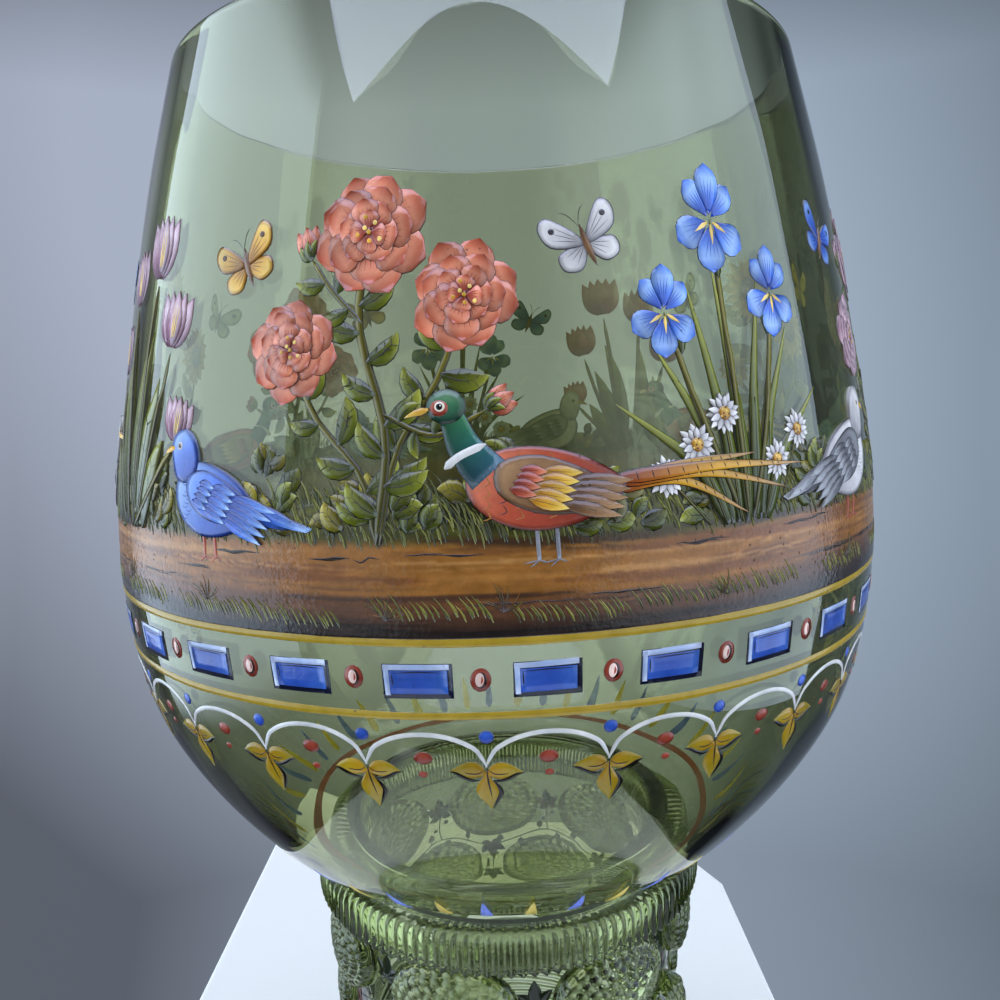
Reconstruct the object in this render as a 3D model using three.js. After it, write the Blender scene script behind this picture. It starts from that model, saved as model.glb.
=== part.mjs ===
// A large wine goblet of the roemer form in smoky green glass. A blown ovoid bowl stands on a wide
// hollow stem set with raspberry prunts, over a hollow foot that spreads to a flat resting ring.
// Millimetres, +Z up. The origin is the centre of the ring that the foot stands on.
import * as THREE from "three";

// Driving dimensions
const ROUND_SEGMENTS = 48;
const GAP = 0.3; // room left between glass pieces that are fused on the real goblet

// Bowl: the height of its widest circle, and its outside as [radius, height above that circle],
// from the middle of the underside to the rim. The first station mirrors the third, so that the
// underside is level where it crosses the axis.
const BOWL_WIDEST_Z = 168;
const BOWL_STATIONS = [
  [-25, -66.5],
  [0, -67],
  [25, -66.5],
  [44.5, -62.7],
  [58.4, -49.5],
  [70.3, -29.8],
  [74.6, -10],
  [74.7, 9.3],
  [72.1, 28.8],
  [68.6, 48.3],
  [64.5, 67.8],
  [59.7, 87],
];
const BOWL_RIM_WALL = 1.8;
const BOWL_BASE_WALL = 2.2;
const WALL_THINS_OVER = 0.5; // share of the way from base to rim
const BOWL_STEPS = 20;
const RIM_ARC_STEPS = 4;

const STEM_OUTER = 36;
const STEM_WALL = 2.8;
const STEM_FOOT_Z = 49;
const STEM_TOP_FLARE = 0.8; // the stem opens a little where it takes the bowl
const STEM_FLARE_Z = 101;

// Upper collar: a glass trail milled with upright notches, just under the bowl
const COLLAR_LOW_Z = 90.4;
const COLLAR_HIGH_Z = 98.6;
const COLLAR_OUTER = 42.4;
const COLLAR_EDGE = 1.6; // how far its upper and lower edges are rounded off
const COLLAR_NOTCHES = 120;
const NOTCH_DEPTH = 1;

// Lower ring: a plain round trail over the joint of stem and foot
const RING_LOW_Z = 44.5;
const RING_HIGH_Z = 51.5;
const RING_OUTER = 40.8;
const RING_ARC_STEPS = 6;

// Prunts: two staggered rows of pressed glass berries, wider than they are high
const PRUNTS_IN_ROW = 7;
const PRUNT_ROWS = [
  { z: 80.6, turn: 0 },
  { z: 61.6, turn: 0.5 },
];
const FIRST_PRUNT_ANGLE = THREE.MathUtils.degToRad(97);
const PRUNT_HALF_WIDTH = 13.1;
const PRUNT_HALF_HEIGHT = 9.3;
const PRUNT_RISE = 4.2;
const PRUNT_EDGE = 0.6;
const PRUNT_NUB = 0.5;
const PRUNT_SIDES = 16;
const PRUNT_RINGS = 5;

// Foot: a short neck, then a cone that spreads, wound with rounded ridges
const FOOT_TOP_Z = STEM_FOOT_Z - GAP;
const FLARE_TOP_Z = 42;
const FOOT_OUTER = 62;
const FOOT_WALL = 2.8;
const FOOT_FLARE_POWER = 1.7;
const FOOT_EDGE_HEIGHT = 3.5;
const RESTING_RING_WIDTH = 5;
const RESTING_RING_CHAMFER = 0.6;
const FOOT_RIDGES = 9;
const RIDGE_HEIGHT = 1;
const FOOT_INNER_STEPS = 8;

const BOWL_COLOUR = 0x8f9d7c;
const STEM_COLOUR = 0x87966f;
const TRAIL_COLOUR = 0x6e7d55;

function glass(colour) {
  return new THREE.MeshStandardMaterial({
    color: colour,
    roughness: 0.06,
    metalness: 0,
    transparent: true,
    opacity: 0.6,
  });
}

function namedMesh(name, geometry, material) {
  const mesh = new THREE.Mesh(geometry, material);
  mesh.name = name;
  return mesh;
}

// A solid of revolution about Z from [radius, z] points
function revolved(points) {
  const profile = points.map(([radius, z]) => new THREE.Vector2(radius, z));
  return new THREE.LatheGeometry(profile, ROUND_SEGMENTS).rotateX(Math.PI / 2);
}

// A closed ring whose section, a loop of [radius, z] points, may change from step to step
function ringOfSections(stepCount, sectionAt) {
  const positions = [];
  const indices = [];
  const sectionLength = sectionAt(0).length;
  for (let step = 0; step < stepCount; step++) {
    const angle = (2 * Math.PI * step) / stepCount;
    for (const [radius, z] of sectionAt(step)) {
      positions.push(radius * Math.cos(angle), radius * Math.sin(angle), z);
    }
  }
  for (let step = 0; step < stepCount; step++) {
    const here = step * sectionLength;
    const next = ((step + 1) % stepCount) * sectionLength;
    for (let i = 0; i < sectionLength; i++) {
      const j = (i + 1) % sectionLength;
      indices.push(here + i, next + i, next + j);
      indices.push(here + i, next + j, here + j);
    }
  }
  return indexedGeometry(positions, indices);
}

function indexedGeometry(positions, indices) {
  const geometry = new THREE.BufferGeometry();
  geometry.setAttribute("position", new THREE.Float32BufferAttribute(positions, 3));
  geometry.setIndex(indices);
  geometry.computeVertexNormals();
  return geometry;
}

// Points up the outside of the bowl, from the axis below to the rim above, with the thickness of
// the wall at each
function bowlOutside() {
  const stations = BOWL_STATIONS.map(([radius, height]) => new THREE.Vector2(radius, height));
  const curve = new THREE.SplineCurve(stations);
  const axisAt = 1 / (BOWL_STATIONS.length - 1);
  const points = [];
  for (let step = 0; step <= BOWL_STEPS; step++) {
    const along = step / BOWL_STEPS;
    const t = axisAt + along * (1 - axisAt);
    const point = curve.getPoint(t);
    const tangent = curve.getTangent(t);
    const thinning = Math.min(1, along / WALL_THINS_OVER);
    const wall = THREE.MathUtils.lerp(BOWL_BASE_WALL, BOWL_RIM_WALL, thinning);
    points.push({ radius: point.x, z: BOWL_WIDEST_Z + point.y, tangent, wall });
  }
  points[0].radius = 0;
  points[0].tangent.set(1, 0);
  return points;
}

// The height of the bowl's underside at a radius inside its widest circle
function bowlUndersideZ(radius) {
  const points = bowlOutside();
  const above = points.findIndex((point) => point.radius > radius);
  const low = points[above - 1];
  const high = points[above];
  return THREE.MathUtils.mapLinear(radius, low.radius, high.radius, low.z, high.z);
}

function bowlGeometry() {
  const outside = bowlOutside();
  const inside = outside.map(({ radius, z, tangent, wall }) => [
    Math.max(0, radius - wall * tangent.y),
    z + wall * tangent.x,
  ]);
  const rim = outside[BOWL_STEPS];
  const [innerRadius, innerZ] = inside[BOWL_STEPS];
  const middle = [(rim.radius + innerRadius) / 2, (rim.z + innerZ) / 2];
  const roundedRim = [];
  for (let step = 1; step < RIM_ARC_STEPS; step++) {
    const angle = (Math.PI * step) / RIM_ARC_STEPS;
    roundedRim.push([
      middle[0] + (rim.wall / 2) * Math.cos(angle),
      middle[1] + (rim.wall / 2) * Math.sin(angle),
    ]);
  }
  inside[0][0] = 0;
  const outsidePoints = outside.map(({ radius, z }) => [radius, z]);
  return revolved([...outsidePoints, ...roundedRim, ...inside.reverse()]);
}

function stemGeometry() {
  const inner = STEM_OUTER - STEM_WALL;
  const topOuter = STEM_OUTER + STEM_TOP_FLARE;
  const topInner = inner + STEM_TOP_FLARE;
  return revolved([
    [inner, STEM_FOOT_Z],
    [STEM_OUTER, STEM_FOOT_Z],
    [STEM_OUTER, STEM_FLARE_Z],
    [topOuter, bowlUndersideZ(topOuter) - GAP],
    [topInner, bowlUndersideZ(topInner) - GAP],
    [inner, STEM_FLARE_Z],
    [inner, STEM_FOOT_Z],
  ]);
}

function upperCollarGeometry() {
  const inner = STEM_OUTER + GAP;
  const shoulder = COLLAR_OUTER - COLLAR_EDGE;
  const stepsPerNotch = 2;
  return ringOfSections(COLLAR_NOTCHES * stepsPerNotch, (step) => {
    const cut = (step % stepsPerNotch) * NOTCH_DEPTH;
    return [
      [inner, COLLAR_LOW_Z],
      [shoulder - cut, COLLAR_LOW_Z],
      [COLLAR_OUTER - cut, COLLAR_LOW_Z + COLLAR_EDGE],
      [COLLAR_OUTER - cut, COLLAR_HIGH_Z - COLLAR_EDGE],
      [shoulder - cut, COLLAR_HIGH_Z],
      [inner, COLLAR_HIGH_Z],
    ];
  });
}

function lowerRingGeometry() {
  const inner = STEM_OUTER + GAP;
  const middleZ = (RING_LOW_Z + RING_HIGH_Z) / 2;
  const halfHeight = (RING_HIGH_Z - RING_LOW_Z) / 2;
  const points = [];
  for (let step = 0; step <= RING_ARC_STEPS; step++) {
    const angle = Math.PI * (step / RING_ARC_STEPS - 0.5);
    points.push([
      inner + (RING_OUTER - inner) * Math.cos(angle),
      middleZ + halfHeight * Math.sin(angle),
    ]);
  }
  return revolved([...points, points[0]]);
}

// A berry whose back follows the stem's round wall. Its face is a low dome with every other
// corner raised as a nub.
function pruntGeometry(centreAngle, centreZ) {
  const backRadius = STEM_OUTER + GAP;
  const positions = [];
  const indices = [];
  const addPoint = (reach, side, rise) => {
    const turn = (2 * Math.PI * side) / PRUNT_SIDES;
    const angle = centreAngle + (PRUNT_HALF_WIDTH * reach * Math.cos(turn)) / backRadius;
    const radius = backRadius + rise;
    const z = centreZ + PRUNT_HALF_HEIGHT * reach * Math.sin(turn);
    positions.push(radius * Math.cos(angle), radius * Math.sin(angle), z);
  };
  const joinRings = (lower, upper) => {
    for (let side = 0; side < PRUNT_SIDES; side++) {
      const next = (side + 1) % PRUNT_SIDES;
      indices.push(lower + side, lower + next, upper + next);
      indices.push(lower + side, upper + next, upper + side);
    }
  };
  addPoint(0, 0, 0);
  const backRings = 2;
  for (let ring = 1; ring <= backRings; ring++) {
    for (let side = 0; side < PRUNT_SIDES; side++) {
      addPoint(ring / backRings, side, 0);
    }
  }
  for (let ring = PRUNT_RINGS; ring > 0; ring--) {
    const reach = ring / PRUNT_RINGS;
    const dome = PRUNT_EDGE + (PRUNT_RISE - PRUNT_EDGE) * Math.sqrt(1 - reach * reach);
    for (let side = 0; side < PRUNT_SIDES; side++) {
      const raised = ring < PRUNT_RINGS && (side + ring) % 2 === 0;
      addPoint(reach, side, raised ? dome + PRUNT_NUB : dome);
    }
  }
  addPoint(0, 0, PRUNT_RISE);
  const tip = positions.length / 3 - 1;
  const ringCount = backRings + PRUNT_RINGS;
  const ringStart = (ring) => 1 + ring * PRUNT_SIDES;
  for (let side = 0; side < PRUNT_SIDES; side++) {
    const next = (side + 1) % PRUNT_SIDES;
    indices.push(0, ringStart(0) + next, ringStart(0) + side);
    indices.push(tip, ringStart(ringCount - 1) + side, ringStart(ringCount - 1) + next);
  }
  for (let ring = 0; ring < ringCount - 1; ring++) {
    joinRings(ringStart(ring), ringStart(ring + 1));
  }
  return indexedGeometry(positions, indices);
}

// The foot's outside without its ridges
function footRadius(z) {
  const drop = Math.max(0, 1 - z / FLARE_TOP_Z);
  return STEM_OUTER + (FOOT_OUTER - STEM_OUTER) * drop ** FOOT_FLARE_POWER;
}

function footGeometry() {
  const outside = [
    [FOOT_OUTER - RESTING_RING_WIDTH, 0],
    [FOOT_OUTER - RESTING_RING_CHAMFER, 0],
    [FOOT_OUTER, FOOT_EDGE_HEIGHT / 2],
  ];
  const ridgePitch = (FLARE_TOP_Z - FOOT_EDGE_HEIGHT) / FOOT_RIDGES;
  for (let ridge = 0; ridge < FOOT_RIDGES; ridge++) {
    const low = FOOT_EDGE_HEIGHT + ridge * ridgePitch;
    const crest = low + ridgePitch / 2;
    outside.push([footRadius(low), low]);
    outside.push([footRadius(crest) + RIDGE_HEIGHT, crest]);
  }
  outside.push([STEM_OUTER, FLARE_TOP_Z], [STEM_OUTER, FOOT_TOP_Z]);
  const inside = [[STEM_OUTER - FOOT_WALL, FOOT_TOP_Z]];
  for (let step = 0; step < FOOT_INNER_STEPS; step++) {
    const z = FLARE_TOP_Z * (1 - step / FOOT_INNER_STEPS);
    inside.push([footRadius(z + FOOT_WALL) - FOOT_WALL, z]);
  }
  return revolved([...outside, ...inside, outside[0]]);
}

const bowlGlass = glass(BOWL_COLOUR);
const stemGlass = glass(STEM_COLOUR);
const trailGlass = glass(TRAIL_COLOUR);

const goblet = new THREE.Group();
goblet.add(namedMesh("bowl", bowlGeometry(), bowlGlass));
goblet.add(namedMesh("stem", stemGeometry(), stemGlass));
goblet.add(namedMesh("upper_collar", upperCollarGeometry(), trailGlass));
goblet.add(namedMesh("lower_ring", lowerRingGeometry(), trailGlass));
goblet.add(namedMesh("foot", footGeometry(), stemGlass));

const pruntPitch = (2 * Math.PI) / PRUNTS_IN_ROW;
let pruntNumber = 0;
for (const row of PRUNT_ROWS) {
  for (let i = 0; i < PRUNTS_IN_ROW; i++) {
    pruntNumber += 1;
    const angle = FIRST_PRUNT_ANGLE + (i + row.turn) * pruntPitch;
    const name = "prunt_" + String(pruntNumber).padStart(2, "0");
    goblet.add(namedMesh(name, pruntGeometry(angle, row.z), trailGlass));
  }
}

export default goblet;
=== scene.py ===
import math

import bpy
import numpy as np
from mathutils import Matrix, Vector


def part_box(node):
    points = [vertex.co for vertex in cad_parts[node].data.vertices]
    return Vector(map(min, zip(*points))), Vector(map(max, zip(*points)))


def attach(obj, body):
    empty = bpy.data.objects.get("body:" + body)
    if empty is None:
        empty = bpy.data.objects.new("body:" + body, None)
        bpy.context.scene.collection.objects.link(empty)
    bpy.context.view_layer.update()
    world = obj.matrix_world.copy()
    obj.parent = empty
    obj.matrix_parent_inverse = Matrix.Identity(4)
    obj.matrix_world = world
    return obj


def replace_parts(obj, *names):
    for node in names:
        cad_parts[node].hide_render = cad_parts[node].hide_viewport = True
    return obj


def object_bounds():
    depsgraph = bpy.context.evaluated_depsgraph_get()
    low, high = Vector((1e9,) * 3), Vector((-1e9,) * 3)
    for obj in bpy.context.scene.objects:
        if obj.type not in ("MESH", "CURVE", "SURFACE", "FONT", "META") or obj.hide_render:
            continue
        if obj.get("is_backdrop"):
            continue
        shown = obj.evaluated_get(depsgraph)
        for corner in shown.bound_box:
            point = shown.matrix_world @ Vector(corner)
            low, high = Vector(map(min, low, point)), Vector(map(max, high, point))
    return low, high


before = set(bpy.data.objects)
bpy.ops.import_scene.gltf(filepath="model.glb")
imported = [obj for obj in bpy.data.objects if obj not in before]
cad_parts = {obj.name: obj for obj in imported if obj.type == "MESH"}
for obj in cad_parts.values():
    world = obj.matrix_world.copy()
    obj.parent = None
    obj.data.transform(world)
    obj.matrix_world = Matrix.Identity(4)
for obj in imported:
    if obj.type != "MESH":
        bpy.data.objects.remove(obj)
cad_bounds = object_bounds()

MM = 0.001
FULL_TURN = 2 * math.pi

# Bowl outline as in the CAD model: radius and height above the widest circle
BOWL_WIDEST_Z = 168
BOWL_WIDEST_RADIUS = 75
BOWL_STATIONS = [
    -25 - 66.5j, 0 - 67j, 25 - 66.5j, 44.5 - 62.7j, 58.4 - 49.5j, 70.3 - 29.8j,
    74.6 - 10j, 74.7 + 9.3j, 72.1 + 28.8j, 68.6 + 48.3j, 64.5 + 67.8j, 59.7 + 87j,
]
BOWL_RIM_WALL = 1.8
BOWL_BASE_WALL = 2.2
WALL_THINS_OVER = 0.5  # share of the way from base to rim

# Waves in the blown wall: height at the widest circle, number in a full turn, turn for each
# millimetre of z, and phase. The inside also has faint upright streaks.
SWAY_WAVES = [(0.07, 3, 0.045, 0), (0.05, 5, -0.08, 1.3), (0.03, 9, 0.13, 0.5)]
STREAK_WAVES = [(0.02, 23, 0.02, 0), (0.012, 41, -0.03, 2)]

STEM_WALL = 2.8
STEM_TOP_FLARE = 0.8
STEM_FLARE_HEIGHT = 4.5
STEM_TOP_CLEARANCE = 0.1
FUSED_GAP = 0.03  # hair of air between pieces that are fused on the real goblet

COLLAR_EDGE = 1.6
COLLAR_NOTCHES = 120
NOTCH_DEPTH = 1

PRUNT_RISE = 4.2
PRUNT_EDGE = 0.6
NUB_RADIUS = 1.2
NUB_HEIGHT = 0.8
NUB_RINGS = [(0, 1), (0.19, 6), (0.36, 12), (0.53, 18), (0.7, 24), (0.87, 30)]  # reach and count

FLARE_TOP_Z = 42
FOOT_WALL = 2.8
FOOT_FLARE_POWER = 1.7
FOOT_EDGE_HEIGHT = 3.5
RESTING_RING_WIDTH = 5
THREAD_TURNS = 16
THREAD_HEIGHT = 0.9

# Camera, from the photograph's perspective
CAMERA_PLACE = (0.8, -181, 197.3)
CAMERA_PITCH = 7.7
CAMERA_ROLL = -1.9
CAMERA_LENS = 30.23
SENSOR_WIDTH = 36
NEAR_CLIP = 0.01  # metres

# Plinth: its corners seen from above, its thickness and the width of its softened edges
PLINTH_CORNERS = [(-106, -204), (84, -204), (84, 128), (72, 154), (-104, 185)]
PLINTH_THICKNESS = 30
PLINTH_EDGE = 2

# Lights in metres. A window stands one metre from the goblet's axis and faces it: name, azimuth
# (0 is behind the goblet, 90 to the viewer's right), width, brightness, colour, and the shares over
# which it fades out at its left, right, bottom and top edge.
WINDOWS = [
    ("left_window", -91.5, 1.23, 8.4, (0.66, 0.81, 1), (0, 0, 0.16, 0.14)),
    ("right_window", 112, 1.35, 6.8, (0.66, 0.8, 1), (0.6, 0, 0, 0.14)),
    ("left_room", -141, 0.8, 3, (0.8, 0.9, 1), (0.5, 0.5, 0.3, 0.3)),
    ("right_room", 142, 0.9, 4, (0.84, 0.92, 1), (0.5, 0.5, 0.3, 0.3)),
]
WINDOW_HEIGHT = 1.85
WINDOW_MIDDLE_Z = 0.4

# Square lights overhead: name, height, size, brightness, colour, and whether the glass mirrors it
# and nothing else is lit by it
CEILING_LIGHTS = [
    ("ceiling", 1.35, 0.9, 7.4, (1, 1, 1), False),
    ("skylight", 1.7, 2.4, 15.5, (0.6, 0.67, 1), True),
]

# Brightness of the studio paper at a direction's x and z: its value in the middle, and what it
# gains for each x x, x z, x, z z and z
PAPER_MIDDLE = 0.547
PAPER_SLOPES = (-0.87, -0.37, -0.036, -0.72, 0.14)

# Kinds of glass: the colour that is left behind a thickness of it, its density, how wavy its skin
# is, and whether it is knobbly, which gives it painted shade between small round spots
GLASS_KINDS = {
    "bowl_glass": ((0.5, 0.56, 0.04), 300, 0, False),
    "stem_glass": ((0.42, 0.5, 0.05), 150, 0.08, False),
    "trail_glass": ((0.42, 0.5, 0.05), 120, 0.05, False),
    "prunt_glass": ((0.46, 0.53, 0.05), 110, 0, True),
}

# Enamel colours in four tones each, in 8-bit sRGB: outline, dark, middle, light
LEAVES = ((20, 24, 8), (48, 56, 14), (90, 98, 26), (146, 148, 56))
OLIVE = ((26, 26, 10), (66, 64, 18), (116, 108, 32), (168, 156, 68))
MOSS = ((36, 40, 12), (70, 74, 20), (106, 108, 34), (138, 134, 54))
RUST = ((62, 20, 16), (118, 42, 30), (168, 74, 52), (222, 146, 118))
MAUVE = ((46, 24, 38), (96, 58, 78), (150, 108, 128), (210, 180, 194))
OCHRE = ((78, 44, 12), (150, 96, 22), (208, 156, 42), (240, 206, 112))
BLUE = ((14, 20, 58), (26, 56, 150), (56, 102, 204), (150, 184, 238))
WHITE = ((64, 62, 68), (142, 140, 148), (200, 198, 204), (238, 238, 242))
BROWN = ((36, 22, 14), (74, 50, 32), (120, 86, 58), (176, 140, 106))
GREY = ((34, 34, 38), (78, 80, 88), (122, 124, 134), (186, 190, 200))
BLACK = (18, 14, 12)
LINE_OCHRE = (164, 138, 38)
# Painted light: the pale tone mixed into the undersides of marks, for light that shines through the thin
# enamel from behind
PAINTED_BACKLIGHT = (206, 204, 192)


# Shapes and surfaces


def catmull_rom(padded, steps, closed=False):
    """Points in even steps on the curve through padded[1] to padded[-2]."""
    spans = len(padded) - 3
    t = np.linspace(0, spans, steps, endpoint=not closed)
    i = np.minimum(t.astype(int), spans - 1)
    f = t - i
    a, b, c, d = (padded[i + k] for k in range(4))
    return 0.5 * (2 * b + (c - a) * f + (2 * a - 5 * b + 4 * c - d) * f**2 + (3 * b - a - 3 * c + d) * f**3)


def curve(points, steps, closed=False):
    """A smooth line through complex points."""
    points = np.asarray(points, complex)
    if closed:
        padded = np.concatenate([points[-1:], points, points[:2]])
    else:
        padded = np.concatenate([[2 * points[0] - points[1]], points, [2 * points[-1] - points[-2]]])
    return catmull_rom(padded, steps, closed)


def waves(table, theta, radius, z):
    """How far a table's waves reach outwards, in proportion to the radius."""
    total = sum(height * np.sin(count * theta + twist * z + phase) for height, count, twist, phase in table)
    return total * radius / BOWL_WIDEST_RADIUS


def sway(theta, radius, z):
    """How far the blown wall strays outwards from round."""
    return waves(SWAY_WAVES, theta, radius, z)


def streaks(theta, radius, z):
    return sway(theta, radius, z) + waves(STREAK_WAVES, theta, radius, z)


def around_axis(theta, radius, z):
    """Points in space from the angle round the goblet, the distance from its axis and the height."""
    return np.stack([radius * np.sin(theta), -radius * np.cos(theta), z], axis=-1)


def arc(start, end, count):
    """Points on a circle of radius 1, from and to an angle in quarter turns."""
    return np.exp(1j * np.linspace(start * math.pi / 2, end * math.pi / 2, count))


class Surface:
    """A round outside that paint lies on."""

    def __init__(self, outline, zero_z):
        self.radius = outline.real
        self.z = outline.imag
        lengths = np.concatenate([[0], np.cumsum(np.abs(np.diff(outline)))])
        self.v = lengths - np.interp(zero_z, self.z, lengths)
        along = np.gradient(outline, self.v)
        self.normal = along / np.abs(along) * -1j

    def radius_at(self, v):
        return float(np.interp(v, self.v, self.radius))

    def v_at_radius(self, radius):
        """v on the underside, where the radius still grows."""
        widest = int(np.argmax(self.radius))
        return float(np.interp(radius, self.radius[:widest], self.v[:widest]))

    def place(self, theta, v, lift):
        v = v + PAINT_TILT * np.sin(theta)
        normal = np.interp(v, self.v, self.normal.real) + 1j * np.interp(v, self.v, self.normal.imag)
        radius = np.interp(v, self.v, self.radius) + lift * normal.real
        z = np.interp(v, self.v, self.z) + lift * normal.imag
        return around_axis(theta, radius + sway(theta, radius, z), z)


def bowl_outline():
    return catmull_rom(np.array(BOWL_STATIONS + BOWL_STATIONS[-1:]), 160) + 1j * BOWL_WIDEST_Z


def cad_size(node):
    """Outer radius, lowest and highest point of a round CAD node."""
    low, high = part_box(node)
    return high.x / MM, low.z / MM, high.z / MM


def stem_radius():
    return cad_size("stem")[0] - STEM_TOP_FLARE


def put_in_scene(name, data):
    item = bpy.data.objects.new(name, data)
    bpy.context.scene.collection.objects.link(item)
    return item


def new_piece(name, points, faces, material, slot):
    mesh = bpy.data.meshes.new(name)
    mesh.from_pydata((np.asarray(points) * MM).tolist(), [], faces)
    mesh.shade_smooth()
    mesh.materials.append(material)
    piece = put_in_scene(name, mesh)
    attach(piece, "root")
    return piece


def grid_faces(rows, columns, close_rows=False):
    """Quads over rings of points, wound so that they face away from the goblet."""
    i = np.arange(rows if close_rows else rows - 1)[:, None]
    j = np.arange(columns)[None, :]
    i_next, j_next = (i + 1) % rows, (j + 1) % columns
    quads = [i * columns + j, i * columns + j_next, i_next * columns + j_next, i_next * columns + j]
    return np.stack(quads, axis=-1).reshape(-1, 4).tolist()


def shell_faces(rows, columns):
    """Faces over rings of points and two more points, the first under the first ring and the second
    over the last one."""
    faces = grid_faces(rows, columns)
    under = rows * columns
    last = under - columns
    for j in range(columns):
        k = (j + 1) % columns
        faces.append([under, k, j])
        faces.append([under + 1, last + j, last + k])
    return faces


def turned_points(outline, segments, offset=sway):
    """The rows of a solid of revolution, each row a ring."""
    theta = np.arange(segments) * FULL_TURN / segments
    radius, theta = np.broadcast_arrays(outline.real[:, None], theta[None, :])
    z = np.broadcast_to(outline.imag[:, None], radius.shape)
    return around_axis(theta, radius + offset(theta, radius, z), z)


def turned_ring(outline, segments, offset=sway):
    """Points and faces of a ring whose section is the closed outline, counter-clockwise."""
    points = turned_points(outline, segments, offset)
    return points.reshape(-1, 3), grid_faces(len(outline), segments, True)


# Glass


def bowl_walls(surface):
    """The bowl's outside and inside outlines, and the rounded rim between them."""
    outside = surface.radius + 1j * surface.z
    share = np.linspace(0, 1, len(outside))
    wall = BOWL_BASE_WALL + (BOWL_RIM_WALL - BOWL_BASE_WALL) * np.minimum(1, share / WALL_THINS_OVER)
    inside = outside - wall * surface.normal
    middle = (outside[-1] + inside[-1]) / 2
    rim = middle + wall[-1] / 2 * surface.normal[-1] * arc(0, 2, 14)[1:-1]
    return outside, rim, inside[::-1]


def bowl_mesh(surface):
    segments = 360
    outside, rim, inside = bowl_walls(surface)
    outer = turned_points(np.concatenate([outside[1:], rim]), segments)
    inner = turned_points(inside[:-1], segments, streaks)
    rows = np.concatenate([outer, inner])
    points = np.concatenate([rows.reshape(-1, 3), [[0, 0, outside[0].imag], [0, 0, inside[-1].imag]]])
    return points, shell_faces(len(rows), segments)


def stem_outline():
    top_radius, low, high = cad_size("stem")
    flare_z = high - STEM_FLARE_HEIGHT
    top = top_radius + (high - STEM_TOP_CLEARANCE) * 1j
    return curve([stem_radius() + low * 1j, stem_radius() + flare_z * 1j, top], 24)


def stem_mesh():
    outside = stem_outline()
    inside = outside[::-1] - STEM_WALL
    return turned_ring(np.concatenate([outside, inside]), 256)


def collar_mesh():
    outer, low, high = cad_size("upper_collar")
    inner = stem_radius() + FUSED_GAP

    def notches(theta, radius, z):
        wave = 0.5 - 0.5 * np.cos(COLLAR_NOTCHES * theta)
        depth = NOTCH_DEPTH * wave**0.7 * (radius > inner + 1)
        return sway(theta, radius, z) - depth

    edge, corner = COLLAR_EDGE, COLLAR_EDGE * arc(-1, 0, 7)
    lower = outer - edge + (low + edge) * 1j + corner
    upper = outer - edge + (high - edge) * 1j + corner * 1j
    section = np.concatenate([[inner + low * 1j], lower, upper, [inner + high * 1j]])
    return turned_ring(section, COLLAR_NOTCHES * 8, notches)


def lower_ring_mesh():
    outer, low, high = cad_size("lower_ring")
    inner = stem_radius() + FUSED_GAP
    half = arc(-1, 1, 22)
    middle = (low + high) / 2
    section = inner + middle * 1j + (outer - inner) * half.real + (high - low) / 2 * half.imag * 1j
    return turned_ring(section, 256)


def foot_mesh():
    """The foot's outside is wound with one rising thread of glass."""
    outer, _, top = cad_size("foot")
    neck = stem_radius()

    def flare(z):
        return neck + (outer - neck) * np.maximum(0, 1 - z / FLARE_TOP_Z) ** FOOT_FLARE_POWER

    def thread(theta, radius, z):
        outside = radius > flare(z) - 0.01
        wave = 0.5 + 0.5 * np.cos(FULL_TURN * z / pitch - theta)
        ends = np.clip((z - FOOT_EDGE_HEIGHT) / pitch, 0, 1) * np.clip((FLARE_TOP_Z - z) / pitch, 0, 1)
        return THREAD_HEIGHT * wave**0.8 * ends * outside + sway(theta, radius, z)

    pitch = (FLARE_TOP_Z - FOOT_EDGE_HEIGHT) / THREAD_TURNS
    half_edge, bulge = FOOT_EDGE_HEIGHT / 2, 0.8
    half = arc(-1, 1, 12)
    edge = outer - half_edge * bulge + half_edge * 1j + half_edge * (bulge * half.real + 1j * half.imag)
    rise = np.linspace(FOOT_EDGE_HEIGHT + 0.4, top, 150)
    outside = flare(rise) + 1j * rise
    fall = np.linspace(top, 0, 40)
    inside = flare(fall + FOOT_WALL) - FOOT_WALL + 1j * fall
    ring = np.linspace(outer - RESTING_RING_WIDTH, edge[0].real, 4)[:-1]
    section = np.concatenate([ring, edge, outside, inside[:-1]])
    return turned_ring(section, 320, thread)


def cad_points(node):
    """The corners of a CAD node, and theta of their middle."""
    points = np.array([corner.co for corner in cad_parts[node].data.vertices]) / MM
    middle = points.mean(axis=0)
    return points, math.atan2(middle[0], -middle[1])


def nub_centres(half_width, half_height):
    centres = []
    for ring, (reach, count) in enumerate(NUB_RINGS):
        for k in range(count):
            turn = np.exp(1j * (FULL_TURN * k / count + 0.3 * ring))
            centres.append(half_width * reach * turn.real + 1j * half_height * reach * turn.imag)
    return np.array(centres)


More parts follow.
